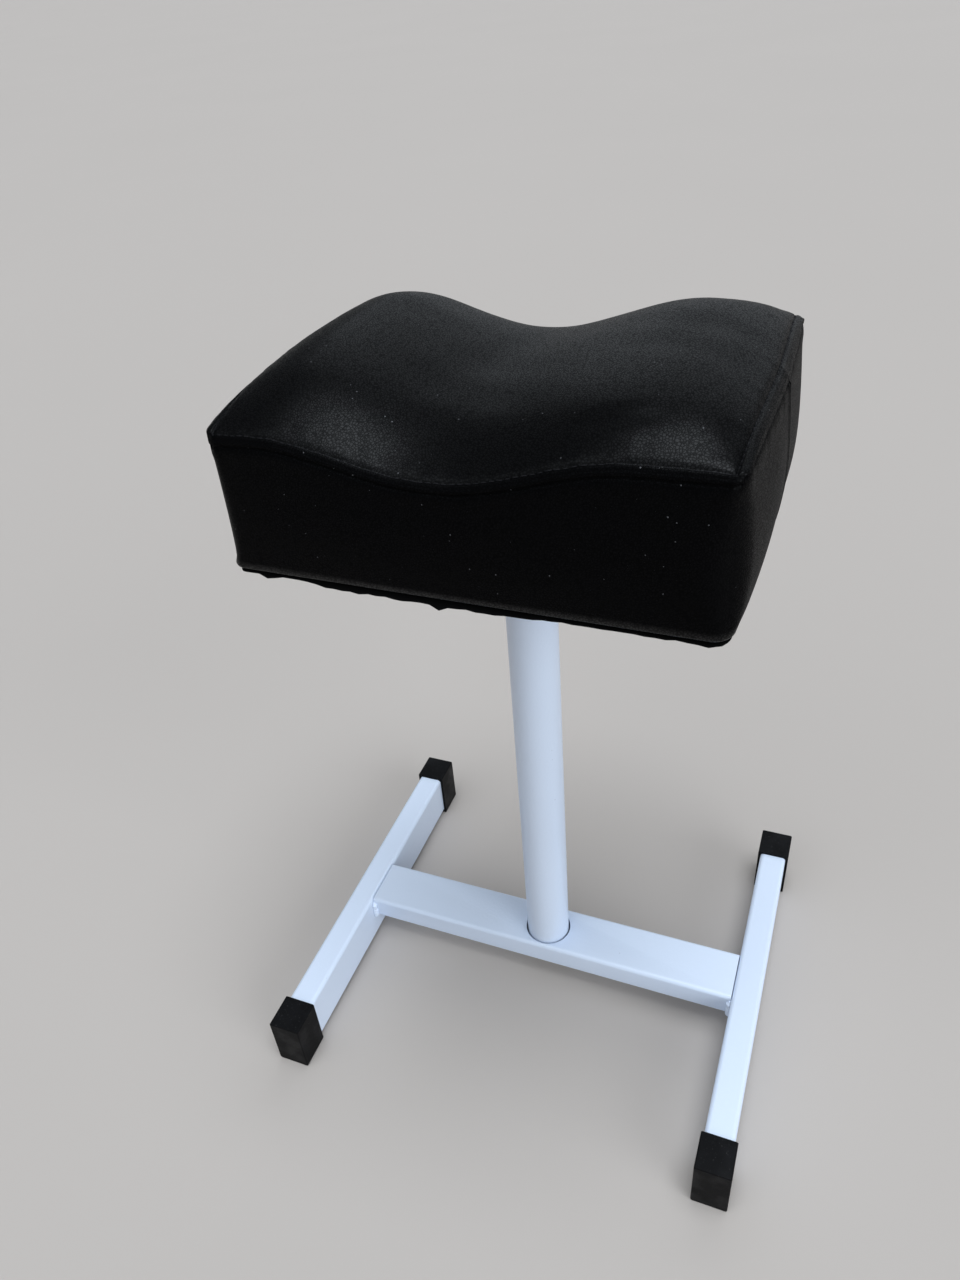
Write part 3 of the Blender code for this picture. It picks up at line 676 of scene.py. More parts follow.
def rounded_plan(u, v, half_x, half_y, corner):
    """Plan place of square coordinates from -1 to 1 on a rectangle with round corners."""
    x, y = np.abs(u) * half_x, np.abs(v) * half_y
    over_x, over_y = ramp(x, half_x - corner, corner), ramp(y, half_y - corner, corner)
    x = x - corner * over_x * (1.0 - np.sqrt(1.0 - over_y ** 2 / 2))
    y = y - corner * over_y * (1.0 - np.sqrt(1.0 - over_x ** 2 / 2))
    return np.sign(u) * x, np.sign(v) * y


# Pad

# Start and width of each shoulder along u and along v
REAR_RIGHT_SHOULDER = (0.84, 0.16), (0.2, 0.8)
REAR_LEFT_SHOULDER = (0.60, 0.40), (-0.1, 0.6)
FRONT_SHOULDER = (0.10, 0.50), (0.55, 0.45)
FRONT_CHANGE = (-0.4, 0.8)
LEFT_SWELL = 0.35
REAR_SWELL = 0.5
SMALLEST_CORNER = 0.002


class PadForm:
    """The sewn pad as formulas, in square coordinates u and v from -1 to 1."""

    def __init__(self, pad):
        self.pad = pad
        self.seam_half = (pad.seam_length / 2, pad.seam_depth / 2)
        self.foot_half = (BOARD_HIGH.x + pad.foot_inset, BOARD_HIGH.y + pad.foot_inset)
        self.roll_top = PAD_FLOOR + pad.roll_radius
        self.side_height = pad.seam_level - self.roll_top

    def seam_height(self, u, v):
        """Height of the seam: a rounded valley between a lower left and a higher right end."""
        pad = self.pad
        x = u * self.seam_half[0]
        reach = ramp(np.abs(x - pad.valley_shift), 0.0, pad.valley_width / 2)
        valley = pad.valley_depth * (1 + np.cos(np.pi * reach)) / 2
        fold = (1 - ramp((1 - np.abs(v)) * self.seam_half[1], 0.0, pad.drop_width)) ** 1.5
        low_corner = np.where((u < 0) | (v > 0), np.abs(u) ** 6, 0.0)
        drop = np.where(v < 0, pad.front_drop, pad.rear_drop) + pad.corner_drop * low_corner
        along, across = REAR_RIGHT_SHOULDER
        rear = ramp(u, *along) ** 2 * ramp(v, *across) ** 2
        along, across = REAR_LEFT_SHOULDER
        rear = rear + ramp(-u, *along) ** 2 * ramp(v, *across)
        along, across = FRONT_SHOULDER
        front = ramp(-v, *across) ** 2 * ramp(np.abs(u), *along)
        front_shoulder = np.where(u < 0, pad.front_left_shoulder, pad.front_right_shoulder)
        shoulders = pad.rear_shoulder * rear + front_shoulder * front
        return pad.seam_level + pad.end_rise * u / 2 - valley - drop * fold - shoulders

    def top(self, u, v):
        """Points of the crowned top panel."""
        pad = self.pad
        along = np.where(u < 0, pad.crown_left, pad.crown_right)
        right = eased(ramp(u, *FRONT_CHANGE))
        front = blended(pad.crown_front_left, pad.crown_front_right, right)
        across = np.where(v < 0, front, pad.crown_rear)
        crown = pad.crown_height * (1 - np.abs(u) ** along) * (1 - np.abs(v) ** across)
        return self.ring(u, v, 1.0, 0.0, self.seam_height(u, v) + crown)

    def outline(self, u, v, rise, inset):
        """Plan of the pad at a share of the way from the foot's roll to the seam."""
        pad = self.pad
        half_x = blended(self.foot_half[0], self.seam_half[0], rise) - inset
        half_y = blended(self.foot_half[1], self.seam_half[1], rise) - inset
        foot_corner = np.where(u < 0, pad.left_foot_corner, pad.right_foot_corner)
        swell_share = np.where(u < 0, LEFT_SWELL, np.where(v < 0, 1.0, REAR_SWELL))
        corner = blended(foot_corner, pad.seam_corner, rise ** 2)
        corner = corner + pad.corner_swell * swell_share * math.sin(math.pi * rise)
        corner = np.maximum(corner - inset * 0.5, SMALLEST_CORNER)
        x, y = rounded_plan(u, v, half_x, half_y, corner)
        low = math.sin(math.pi * rise ** 0.6)
        bulge = np.where(u < 0, pad.left_bulge, pad.right_bulge) * low * (1 - v ** 4)
        pull = pad.corner_pull * rise ** 2 * np.abs(v) ** 1.25
        waist = np.where(u < 0, pad.left_waist, 0.0) * math.sin(math.pi * rise ** 0.5)
        waist = (waist + pad.foot_pull * (1 - rise) ** 3) * np.abs(v) ** 4
        deep_bulge = pad.left_bulge * low * (1 - u ** 4)
        deep_pull = pad.depth_pull * rise ** 2 * np.abs(u) ** 3
        x = x * (1 + (bulge - pull - waist) / half_x)
        y = y * (1 + (deep_bulge - deep_pull) / half_y)
        return x, y

    def ring(self, u, v, rise, inset, height):
        """Points of the outline at a height."""
        x, y = self.outline(u, v, rise, inset)
        return np.stack((x, y, np.broadcast_to(height, x.shape)), axis=-1)

    def side(self, u, v, drop):
        """Ring of the side band at a share of the way down from the seam to the roll."""
        rise = 1.0 - drop
        return self.ring(u, v, rise, 0.0, blended(self.roll_top, self.seam_height(u, v), rise))

    def roll(self, u, v, turn):
        """Ring of the rolled lower edge, turned from upright at 0 to level at 1."""
        radius, angle = self.pad.roll_radius, turn * QUARTER
        height = PAD_FLOOR + radius * (1 - math.sin(angle))
        return self.ring(u, v, 0.0, radius * (1 - math.cos(angle)), height)


PANEL_GLOSS = 0.215
STRIP_GLOSS = 0.05
STRIP_WIDTH = 0.0018
BAND_GLOSS = 0.035
ROLL_GLOSS = 0.5


class Cover:
    """Structured mesh of the pad's cover: a grid on top, rings down the sides and under."""

    def __init__(self, form, us, vs, drops, turns, hems):
        self.us, self.vs, self.drops = us, vs, drops
        self.grid_u, self.grid_v = np.meshgrid(us, vs, indexing="ij")
        rim = rim_indices(len(us), len(vs))
        self.rim = rim[:, 0], rim[:, 1]
        self.rim_count = len(rim)
        self.rim_u, self.rim_v = us[self.rim[0]], vs[self.rim[1]]
        self.top = form.top(self.grid_u, self.grid_v)
        rings = [form.side(self.rim_u, self.rim_v, drop) for drop in drops[1:]]
        self.sides = np.stack([self.top[self.rim]] + rings, axis=1)
        under = [form.roll(self.rim_u, self.rim_v, turn) for turn in turns]
        under += [form.ring(self.rim_u, self.rim_v, 0.0, inset, height) for inset, height in hems]
        self.under = np.stack(under, axis=1)

    def rim_run(self):
        """Place along the border for each of its points, one unit a side."""
        return np.concatenate(((self.us[:-1] + 1) / 2, 1 + (self.vs[:-1] + 1) / 2,
                               2 + (1 - self.us[:0:-1]) / 2, 3 + (1 - self.vs[:0:-1]) / 2))

    def points(self):
        """All points: the grid's, then ring by ring."""
        rings = np.concatenate((self.sides[:, 1:], self.under), axis=1).transpose(1, 0, 2)
        return np.concatenate((self.top.reshape(-1, 3), rings.reshape(-1, 3)))

    def faces(self):
        """Vertex numbers of the faces: top, sides, under, and the flat that closes it."""
        number = np.arange(self.grid_u.size).reshape(self.grid_u.shape)
        ring_count = self.sides.shape[1] - 1 + self.under.shape[1]
        rings = np.arange(ring_count * self.rim_count).reshape(ring_count, -1) + number.size
        layers = np.concatenate((number[self.rim][None], rings))
        closed = np.concatenate((layers, layers[:, :1]), axis=1)
        return grid_quads(number) + grid_quads(closed) + [layers[-1][::-1].tolist()]

    def mesh(self):
        """Plain mesh of the cover, facing out, with its gloss."""
        mesh = bpy.data.meshes.new("cover")
        mesh.from_pydata(self.points().tolist(), [], self.faces())
        mesh.shade_smooth()
        values = np.full(len(mesh.vertices), BAND_GLOSS, dtype=np.float32)
        half_depth = (PANEL_HIGH.y - PANEL_LOW.y) / 2
        strip = (1 - np.abs(self.grid_v)).ravel() * half_depth < STRIP_WIDTH
        values[:self.grid_u.size] = np.where(strip, STRIP_GLOSS, PANEL_GLOSS)
        values[-(self.under.shape[1] + 1) * self.rim_count:] = ROLL_GLOSS
        mesh.attributes.new(GLOSS, "FLOAT", "POINT").data.foreach_set("value", values)
        return mesh


SIM_STEP = 0.0048
SIM_DROPS = 15
SIM_FRAMES = 20
SIM_PRESSURE = 4.0
SIM_STIFFNESS = 40.0
SIM_BENDING = 4.0
SIM_SMOOTHING = 24


def swelling(form):
    """Cloth simulation of the cover under the foam's pressure.

    Returns the simulated cover and how far its top and its sides moved.
    """
    us, vs = (edge_stations(half, (0.0, SIM_STEP), SIM_STEP) for half in form.seam_half)
    drops = np.linspace(0.0, 1.0, SIM_DROPS + 1)
    cover = Cover(form, us, vs, drops, (0.5, 1.0), [(form.pad.hem_width, PAD_FLOOR)])
    item = linked("cover_in_simulation", cover.mesh())
    grid_count, rim_count = cover.grid_u.size, cover.rim_count
    seam = (cover.rim[0] * len(vs) + cover.rim[1]).tolist()
    lower = range(grid_count + (SIM_DROPS - 1) * rim_count, len(item.data.vertices))
    held = item.vertex_groups.new(name="held")
    held.add(seam + list(lower), 1.0, "REPLACE")
    cloth = item.modifiers.new("Cloth", "CLOTH")
    cloth.settings.vertex_group_mass = held.name
    cloth.settings.use_pressure = True
    cloth.settings.uniform_pressure_force = SIM_PRESSURE
    cloth.settings.tension_stiffness = SIM_STIFFNESS
    cloth.settings.compression_stiffness = SIM_STIFFNESS
    cloth.settings.bending_stiffness = SIM_BENDING
    cloth.settings.effector_weights.gravity = 0.0
    cloth.collision_settings.use_collision = False
    cloth.point_cache.frame_start = 1
    cloth.point_cache.frame_end = SIM_FRAMES
    for moment in range(1, SIM_FRAMES + 1):
        bpy.context.scene.frame_set(moment)
    swollen = evaluated_mesh(item)
    bpy.context.scene.frame_set(1)
    places = np.empty(len(swollen.vertices) * 3)
    swollen.vertices.foreach_get("co", places)
    bpy.data.meshes.remove(swollen)
    moved = places.reshape(-1, 3) - cover.points()
    distance = np.linalg.norm(moved, axis=1, keepdims=True)
    moved = moved * np.minimum(1.0, form.pad.swell_cap / np.maximum(distance, 1e-9))
    top_moved = smoothed(moved[:grid_count].reshape(len(us), len(vs), 3), SIM_SMOOTHING)
    rings = moved[grid_count:grid_count + SIM_DROPS * rim_count].reshape(SIM_DROPS, rim_count, 3)
    seam_moved = np.zeros((rim_count, 1, 3))
    return cover, top_moved, np.concatenate((seam_moved, rings.transpose(1, 0, 2)), axis=1)


def swell(cover, form):
    """Move a fine cover as the simulated one moved."""
    coarse, top_moved, side_moved = swelling(form)
    cover.top += resampled(top_moved, coarse.us, coarse.vs, cover.us, cover.vs)
    closed_run = np.append(coarse.rim_run(), 4.0)
    closed_moved = np.concatenate((side_moved, side_moved[:1]))
    cover.sides += resampled(closed_moved, closed_run, coarse.drops, cover.rim_run(), cover.drops)


# Lines of the fine cover beside the seam, the stitches and the band's join
LIP_SHARES = (0.0, 0.15, 0.32, 0.5)
STITCH_OFFSETS = (-0.0009, -0.0004, 0.0, 0.0004, 0.0009, 0.0017, 0.0029, 0.0045, 0.0065, 0.0092)
GROOVE_DROPS = (0.0, 0.0007, 0.0014, 0.0022, 0.0032, 0.0046, 0.0066, 0.0092, 0.0124, 0.0162)
JOIN_OFFSETS = (-0.0042, -0.0026, -0.0016, -0.0009, -0.0004, 0.0,
                0.0004, 0.0009, 0.0016, 0.0026, 0.0042)
PANEL_STEP = 0.0032
SIDE_RINGS = 18
ROLL_TURNS = (0.17, 0.34, 0.5, 0.67, 0.84, 1.0)
HEM_INSETS = (0.008, 0.014, 0.020)
HEM_TUCK = (0.0004, 0.0010)

# Height, place and width of the small forms on top, beside the stitches
STITCH_GROOVE = (0.0009, 0.0, 0.0007)
STITCH_CUSHION = (0.0003, 0.0032, 0.0024)
TOP_PUCKERS = (0.00022, 0.004, 0.006)
TOP_PUCKER_PERIODS = (0.0113, 0.0171, 0.0074)
TOP_LUMP = (0.0005, 0.0, 0.0030)
TOP_UNEVEN, TOP_EVEN_EDGE = 0.0004, 0.02
STITCH_DRIFT, STITCH_BEAT = 0.11, 0.2
JOIN_LUMP_INSET = 0.002
CREASE_X, CREASE_Y = 0.072, -0.0765
CREASE_SLANT = 0.03
CREASE_END = (0.010, 0.014)
CREASE_RIDGE = (0.35, 0.008, 0.0050)
CREASE_VALLEY = (1.0, 0.0, 0.0032)

# The same on the sides, below the seam, and across the band's join
LIP_WIDTH = 0.0005
SIDE_GROOVE = (0.0014, 0.0008)
SIDE_SHOULDER = (0.0004, 0.0060, 0.0036)
SIDE_PUCKERS = (0.00030, 0.004, 0.006)
SIDE_PUCKER_PERIODS = (0.0127, 0.0193, 0.0081)
SIDE_UNEVEN, SIDE_UNEVEN_PERIODS = 0.0005, (0.141, 0.083)
RIGHT_END = 0.999
JOIN_SWAY, JOIN_SWAY_LENGTH = 0.0012, 0.02
JOIN_START = (0.001, 0.002)
JOIN_FORMS = ((0.0005, 0.0021, 0.0014), (0.0005, -0.0021, 0.0014), (-0.0009, 0.0, 0.0007))
JOIN_LUMP = (0.0005, 0.0, 0.0034)
JOIN_LUMP_DROP = (1.0, 0.002, 0.003)


def fine_cover(form):
    """Fine cover, with lines close together at the seam, the stitches and the band's join."""
    pad = form.pad
    join = [pad.join_y + offset for offset in JOIN_OFFSETS]
    stations = []
    for half, row, extra in ((form.seam_half[0], pad.end_stitch_inset, ()),
                             (form.seam_half[1], pad.front_stitch_inset, join)):
        insets = [part * row for part in LIP_SHARES] + [row + offset for offset in STITCH_OFFSETS]
        stations.append(edge_stations(half, insets, PANEL_STEP, extra))
    near = np.array(GROOVE_DROPS) / form.side_height
    drops = np.concatenate((near, np.linspace(near[-1], 1.0, SIDE_RINGS + 1)[1:]))
    hems = [(inset, PAD_FLOOR) for inset in (*HEM_INSETS, pad.hem_width)]
    hems.append((pad.hem_width + HEM_TUCK[0], PAD_FLOOR + HEM_TUCK[1]))
    return Cover(form, *stations, drops, ROLL_TURNS, hems)


def shape_top(cover, form):
    """Lip, stitch groove, puckers, crease and slight unevenness of the top panel."""
    pad = form.pad
    inset_u = (1 - np.abs(cover.grid_u)) * form.seam_half[0]
    inset_v = (1 - np.abs(cover.grid_v)) * form.seam_half[1]
    at_end = inset_u / pad.end_stitch_inset < inset_v / pad.front_stitch_inset
    inset = np.where(at_end, inset_u, inset_v)
    row = np.where(at_end, pad.end_stitch_inset, pad.front_stitch_inset)
    beside = inset - row
    x, y = cover.top[..., 0], cover.top[..., 1]
    along = np.where(at_end, y, x) + np.where(at_end, x, y) * STITCH_DRIFT
    beat = 1 - STITCH_BEAT + STITCH_BEAT * np.cos(2 * np.pi * along / pad.stitch_pitch)
    lift = pad.lip_height * np.where(inset < row, 1 - (2 * inset / row - 1) ** 4, 0.0)
    lift += bell(beside, *STITCH_CUSHION) - bell(beside, *STITCH_GROOVE) * beat
    lift += bell(beside, *TOP_PUCKERS) * waver(along, *TOP_PUCKER_PERIODS)
    uneven = waver(x + 0.6 * y, 0.083, 0.051) * waver(y - 0.4 * x, 0.067, 0.043)
    lift += TOP_UNEVEN * uneven * ramp(inset, 0.0, TOP_EVEN_EDGE)
    within = 1 - eased(ramp(np.abs(x - CREASE_X), *CREASE_END))
    behind = y - CREASE_Y - CREASE_SLANT * (x - CREASE_X)
    crease = bell(behind, *CREASE_RIDGE) - bell(behind, *CREASE_VALLEY)
    lift += pad.crease_depth * within * crease
    from_join = np.hypot(x - form.seam_half[0] + JOIN_LUMP_INSET, y - pad.join_y)
    cover.top[..., 2] += lift + bell(from_join, *TOP_LUMP)


def shape_sides(cover, form):
    """Overhanging lip, seam groove, puckers and the band's join on the sides."""
    pad = form.pad
    seam = cover.sides[:, 0]
    around = np.roll(seam, -1, axis=0) - np.roll(seam, 1, axis=0)
    outward = np.stack((around[:, 1], -around[:, 0], np.zeros(len(seam))), axis=-1)
    outward /= np.linalg.norm(outward, axis=1, keepdims=True)
    along = run_length(seam)[:, None]
    below = (cover.drops * form.side_height)[None, :]
    offset = bell(below, pad.lip_overhang, 0.0, LIP_WIDTH) + bell(below, *SIDE_SHOULDER)
    offset = offset - bell(below, pad.groove_depth, *SIDE_GROOVE)
    offset = offset + bell(below, *SIDE_PUCKERS) * waver(along, *SIDE_PUCKER_PERIODS)
    uneven = SIDE_UNEVEN * waver(along, *SIDE_UNEVEN_PERIODS)
    offset += uneven * np.sin(np.pi * cover.drops)[None, :]
    sway = JOIN_SWAY * np.sin(below / JOIN_SWAY_LENGTH)
    across = cover.sides[..., 1] - pad.join_y - sway
    join = sum(bell(across, *part) for part in JOIN_FORMS) * ramp(below, *JOIN_START)
    join += bell(across, *JOIN_LUMP) * bell(below, *JOIN_LUMP_DROP)
    on_right = np.where(cover.rim_u > RIGHT_END, 1.0, 0.0)[:, None]
    cover.sides += outward[:, None, :] * (offset + join * on_right)[..., None]


STITCH_PATH = "stitch_path"
STITCH_SEED = 7
STITCH_STEPS, THREAD_SIDES = 5, 6
STITCH_SINK, STITCH_BOW = 0.5, 2.2
STITCH_STRAY = (0.88, 1.08)


def leave_stitch_path(cover, form):
    """Closed line object along the row of stitches, with the panel's normal at each point."""
    pad = form.pad
    inset_u = (1 + cover.us) * form.seam_half[0] - pad.end_stitch_inset
    inset_v = (1 + cover.vs) * form.seam_half[1] - pad.front_stitch_inset
    first = np.array([np.argmin(np.abs(inset_u)), np.argmin(np.abs(inset_v))])
    count_u, count_v = np.array(cover.grid_u.shape) - 2 * first
    picked = tuple((rim_indices(count_u, count_v) + first).T)
    normals = np.cross(np.gradient(cover.top, axis=0), np.gradient(cover.top, axis=1))
    normals /= np.linalg.norm(normals, axis=-1, keepdims=True)
    points = cover.top[picked].tolist()
    edges = [(i, (i + 1) % len(points)) for i in range(len(points))]
    mesh = bpy.data.meshes.new(STITCH_PATH)
    mesh.from_pydata(points, edges, [])
    upright = mesh.attributes.new("upright", "FLOAT_VECTOR", "POINT")
    upright.data.foreach_set("vector", normals[picked].astype(np.float32).ravel())
    linked(STITCH_PATH, mesh)


class FOOTREST_OT_pad_cover(bpy.types.Operator):
    """Make the grained vinyl cover, swollen over its foam and sewn along its seam"""

    bl_idname = "footrest.pad_cover"
    bl_label = "Pad Cover"

    def execute(self, context):
        form = PadForm(settings().pad)
        cover = fine_cover(form)
        swell(cover, form)
        shape_sides(cover, form)
        shape_top(cover, form)
        cover.top[cover.rim] = cover.sides[:, 0]
        leave_stitch_path(cover, form)
        piece = add_piece("pad_cover", cover.mesh(), grained_vinyl, UPPER,
                          "foam_block", "cover_top_panel", "cover_side_band")
        return {"FINISHED"}


# Geometry nodes


class GeometryTree(Graph):
    """Geometry node tree with named inputs that puts copies on an object's points."""

    def __init__(self, name, inputs):
        super().__init__(bpy.data.node_groups.new(name, "GeometryNodeTree"))
        self.identifiers = {}
        for label, kind in {"Geometry": "Geometry", **inputs, "Material": "Material"}.items():
            socket = self.tree.interface.new_socket(
                label, in_out="INPUT", socket_type=f"NodeSocket{kind}")
            self.identifiers[label] = socket.identifier
        self.tree.interface.new_socket(
            "Geometry", in_out="OUTPUT", socket_type="NodeSocketGeometry")
        self.source = self.tree.nodes.new("NodeGroupInput")

    def given(self, label):
        """One of the tree's inputs."""
        return Signal(self, self.source.outputs[label])

    def stray(self, low, high):
        """Random number for each point."""
        sockets = {2: low, 3: high, "Seed": self.given("Seed")}
        return self.node("FunctionNodeRandomValue", sockets, 1, data_type="FLOAT")

    def close(self, instances):
        """Make the copies real, give them the material and send them out."""
        whole = self.node("GeometryNodeRealizeInstances", {"Geometry": instances})
        sockets = {"Geometry": whole, "Material": self.given("Material")}
        finished = self.node("GeometryNodeSetMaterial", sockets)
        self.feed(self.tree.nodes.new("NodeGroupOutput").inputs["Geometry"], finished)
        return self

    def grown(self, item, values):
        """Plain mesh of an object with this tree on it."""
        modifier = item.modifiers.new(self.tree.name, "NODES")
        modifier.node_group = self.tree
        for label, value in values.items():
            modifier[self.identifiers[label]] = value
        return evaluated_mesh(item)


def stitch_tree():
    """Tree that sews short bent threads along a line."""
    tree = GeometryTree("row_of_stitches", {
        "Pitch": "Float", "Stitch Length": "Float", "Thread Radius": "Float", "Sink": "Float",
        "Seed": "Int"})
    half = tree.given("Stitch Length") * 0.5
    sunk = tree.given("Sink") * -1.0
    thick = tree.given("Thread Radius")
    start = tree.node("ShaderNodeCombineXYZ", {0: half * -1.0, 2: sunk})
    peak = tree.node("ShaderNodeCombineXYZ", {2: thick * STITCH_BOW + tree.given("Sink")})
    end = tree.node("ShaderNodeCombineXYZ", {0: half, 2: sunk})
    bow = tree.node("GeometryNodeCurveQuadraticBezier",
                    {"Resolution": STITCH_STEPS, "Start": start, "Middle": peak, "End": end})
    profile = tree.node("GeometryNodeCurvePrimitiveCircle",
                        {"Resolution": THREAD_SIDES, "Radius": thick})
    thread = tree.node("GeometryNodeCurveToMesh",
                       {"Curve": bow, "Profile Curve": profile, "Fill Caps": True})
    stitch = tree.node("GeometryNodeSetShadeSmooth", {"Geometry": thread})
    line = tree.node("GeometryNodeMeshToCurve", {"Mesh": tree.given("Geometry")})
    points = tree.node("GeometryNodeResampleCurve",
                       {"Curve": line, "Length": tree.given("Pitch")}, mode="LENGTH")
    upright = tree.node("GeometryNodeInputNamedAttribute", {"Name": "upright"},
                        data_type="FLOAT_VECTOR")
    tangent = tree.node("GeometryNodeInputTangent")
    aimed = tree.node("FunctionNodeAlignRotationToVector", {"Vector": tangent}, axis="X")
    stood = tree.node("FunctionNodeAlignRotationToVector",
                      {"Rotation": aimed, "Vector": upright}, axis="Z", pivot_axis="X")
    return tree.close(tree.node("GeometryNodeInstanceOnPoints", {
        "Points": points, "Instance": stitch, "Rotation": stood,
        "Scale": tree.stray(*STITCH_STRAY)}))


def fastener_tree():
    """Tree that sets a copy of one fastener on every point, turned by the point's own turn."""
    tree = GeometryTree("set_fasteners", {"Fastener": "Object", "Loose Turn": "Float",
                                          "Seed": "Int"})
    fastener = tree.node("GeometryNodeObjectInfo", {"Object": tree.given("Fastener")}, "Geometry")
    turn = tree.node("GeometryNodeInputNamedAttribute", {"Name": "turn"}, data_type="FLOAT")
    loose = tree.given("Loose Turn")
    rotation = tree.node("ShaderNodeCombineXYZ", {2: turn + tree.stray(loose * -1.0, loose)})
    return tree.close(tree.node("GeometryNodeInstanceOnPoints", {
        "Points": tree.given("Geometry"), "Instance": fastener, "Rotation": rotation}))


class FOOTREST_OT_stitches(bpy.types.Operator):
    """Sew the row of stitches round the pad's top"""

    bl_idname = "footrest.stitches"
    bl_label = "Stitches"

    def execute(self, context):
        pad = settings().pad
        mesh = stitch_tree().grown(bpy.data.objects[STITCH_PATH], {
            "Pitch": pad.stitch_pitch, "Stitch Length": pad.stitch_length,
            "Thread Radius": pad.thread_radius, "Sink": pad.thread_radius * STITCH_SINK,
            "Seed": STITCH_SEED, "Material": material(sewing_thread)})
        add_piece("topstitching", mesh, sewing_thread, UPPER)
        return {"FINISHED"}


# Base and post

BOLT_HOLE = 0.0055
HOLE_OVERSHOOT = 0.01
BEAD_STEPS = 6
BEAD_ROOT = 0.0004
BEAD_SPACING = 0.0004
BEAD_END, BEAD_END_LENGTH = 0.35, 1.3
BEAD_UNEVEN, BEAD_PERIODS = 0.10, (0.0071, 0.0113, 0.0189)
BEAD_RIPPLE, BEAD_BOW = 0.09, 0.22
CAP_ROUND_STEPS = 4
CAP_FLOOR_GAP = 0.0003
CAP_MOUTH, CAP_LIP = 0.0004, 0.0002
CAP_RIM, CAP_RIM_DEPTH = 0.0006, 0.0003
CAP_FACE_INSET = 0.0012
POST_EDGE = 0.0004
PLATE_WELD_STEPS = 150
PLATE_WELD_ROOT = 0.0001
PLATE_WELD_SHARE = 0.92
PLATE_WELD_RIPPLES, PLATE_WELD_RIPPLE, PLATE_WELD_BOW = 34, 0.07, 1.4
PLATE_WELD_LOBES, PLATE_WELD_UNEVEN = 5, 0.06

# Inset and rise of the rings on the plate's edge, in roundings
PLATE_RINGS = ((2.0, 0.0), (1.0, 0.0), (0.3, 0.3), (0.0, 1.0))


def tube(node, axis):
    """Mesh of a rectangular tube in place of a frame node, along X (0) or Y (1)."""
    base = settings().base
    low, high, middle, size = extent(node)
    wide, tall, wall = size[1 - axis], size.z, 2 * base.tube_wall
    outer = section(wide, tall, base.tube_corner)
    inner = section(wide - wall, tall - wall, base.tube_corner - base.tube_wall)
    ends = ((outer, low), (outer, high), (inner, high), (inner, low))
    return skinned([ring_across(outline, middle, axis, end[axis]) for outline, end in ends], True)


class FOOTREST_OT_legs(bpy.types.Operator):
    """Make the two rectangular tubes that lie front to back"""

    bl_idname = "footrest.legs"
    bl_label = "Legs"

    def execute(self, context):
        for node in ("left_leg", "right_leg"):
            add_piece(f"{node}_tube", tube(node, 1), white_paint, BASE, node)
        return {"FINISHED"}


class FOOTREST_OT_crossbar(bpy.types.Operator):
    """Make the flat tube between the legs, with the post's and the bolt's holes"""

    bl_idname = "footrest.crossbar"
    bl_label = "Crossbar"

    def execute(self, context):
        base = settings().base
        _, high, middle, _ = extent("crossbar")
        post_hole = (POST_HIGH.x - POST_LOW.x) / 2 + base.hole_clearance
        washer_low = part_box("pivot_flat_washer")[0].z
        cutters = (turned([(post_hole, middle.z), (post_hole, high.z + HOLE_OVERSHOOT)]),
                   turned([(BOLT_HOLE, washer_low), (BOLT_HOLE, middle.z)]))
        mesh = carved(tube("crossbar", 0), cutters, base.hole_edge)
        add_piece("crossbar_tube", mesh, white_paint, BASE, "crossbar")
        return {"FINISHED"}


def bead_ring(root, corner, outward, axis, reach):
    """Ring of a weld bead: its root, and an arc whose reach follows its lean."""
    ring = [root]
    for step in range(BEAD_STEPS + 1):
        lean = QUARTER * step / BEAD_STEPS
        ring.append(corner + reach(lean) * (math.cos(lean) * outward + math.sin(lean) * axis))
    return ring


def bead_rings(corners, outwards, axis, base):
    """Rings of a convex, rippled weld bead along a line of corners."""
    run = run_length(np.array([tuple(corner) for corner in corners])).tolist()
    rings = []
    for corner, outward, along in zip(corners, outwards, run):
        from_end = min(along, run[-1] - along)
        taper = min(1.0, BEAD_END + from_end / (BEAD_END_LENGTH * base.bead_size))
        size = base.bead_size * taper * (1 + BEAD_UNEVEN * float(waver(along, *BEAD_PERIODS)))

        def reach(lean):
            ripples = along / base.bead_ripple + BEAD_BOW * math.sin(2 * lean)
            return size * (1 + BEAD_RIPPLE * math.cos(2 * math.pi * ripples))

        rings.append(bead_ring(corner - BEAD_ROOT * (outward + axis), corner, outward, axis, reach))
    return rings


class FOOTREST_OT_weld_beads(bpy.types.Operator):
    """Lay the rippled weld beads where the crossbar meets the legs"""

    bl_idname = "footrest.weld_beads"
    bl_label = "Weld Beads"

    def execute(self, context):
        base = settings().base
        _, high, middle, size = extent("crossbar")
        outline = section(size.y, size.z, base.tube_corner)
        dense = []
        for first, second in zip(outline, outline[1:] + outline[:1]):
            count = max(1, int((second - first).length / BEAD_SPACING))
            dense += [first.lerp(second, index / count) for index in range(count)]
        top = high.z - middle.z - 1.2 * base.tube_corner
        below = [point for point in dense if point.y < top]
        split = max(range(len(below)), key=lambda i: (below[i] - below[i - 1]).length)
        below = below[split:] + below[:split]
        core = Vector((size.y / 2 - base.tube_corner, size.z / 2 - base.tube_corner))
        outwards = []
        for point in below:
            near = Vector([max(-limit, min(limit, part)) for part, limit in zip(point, core)])
            outwards.append(Vector((0, *(point - near).normalized())))
        for name, side in (("left_weld_bead", -1), ("right_weld_bead", 1)):
            corners = ring_across(below, middle, 0, side * high.x)
            rings = bead_rings(corners, outwards, Vector((-side, 0, 0)), base)
            add_piece(f"{name}_rippled", skinned(rings), white_paint, BASE, name)
        return {"FINISHED"}


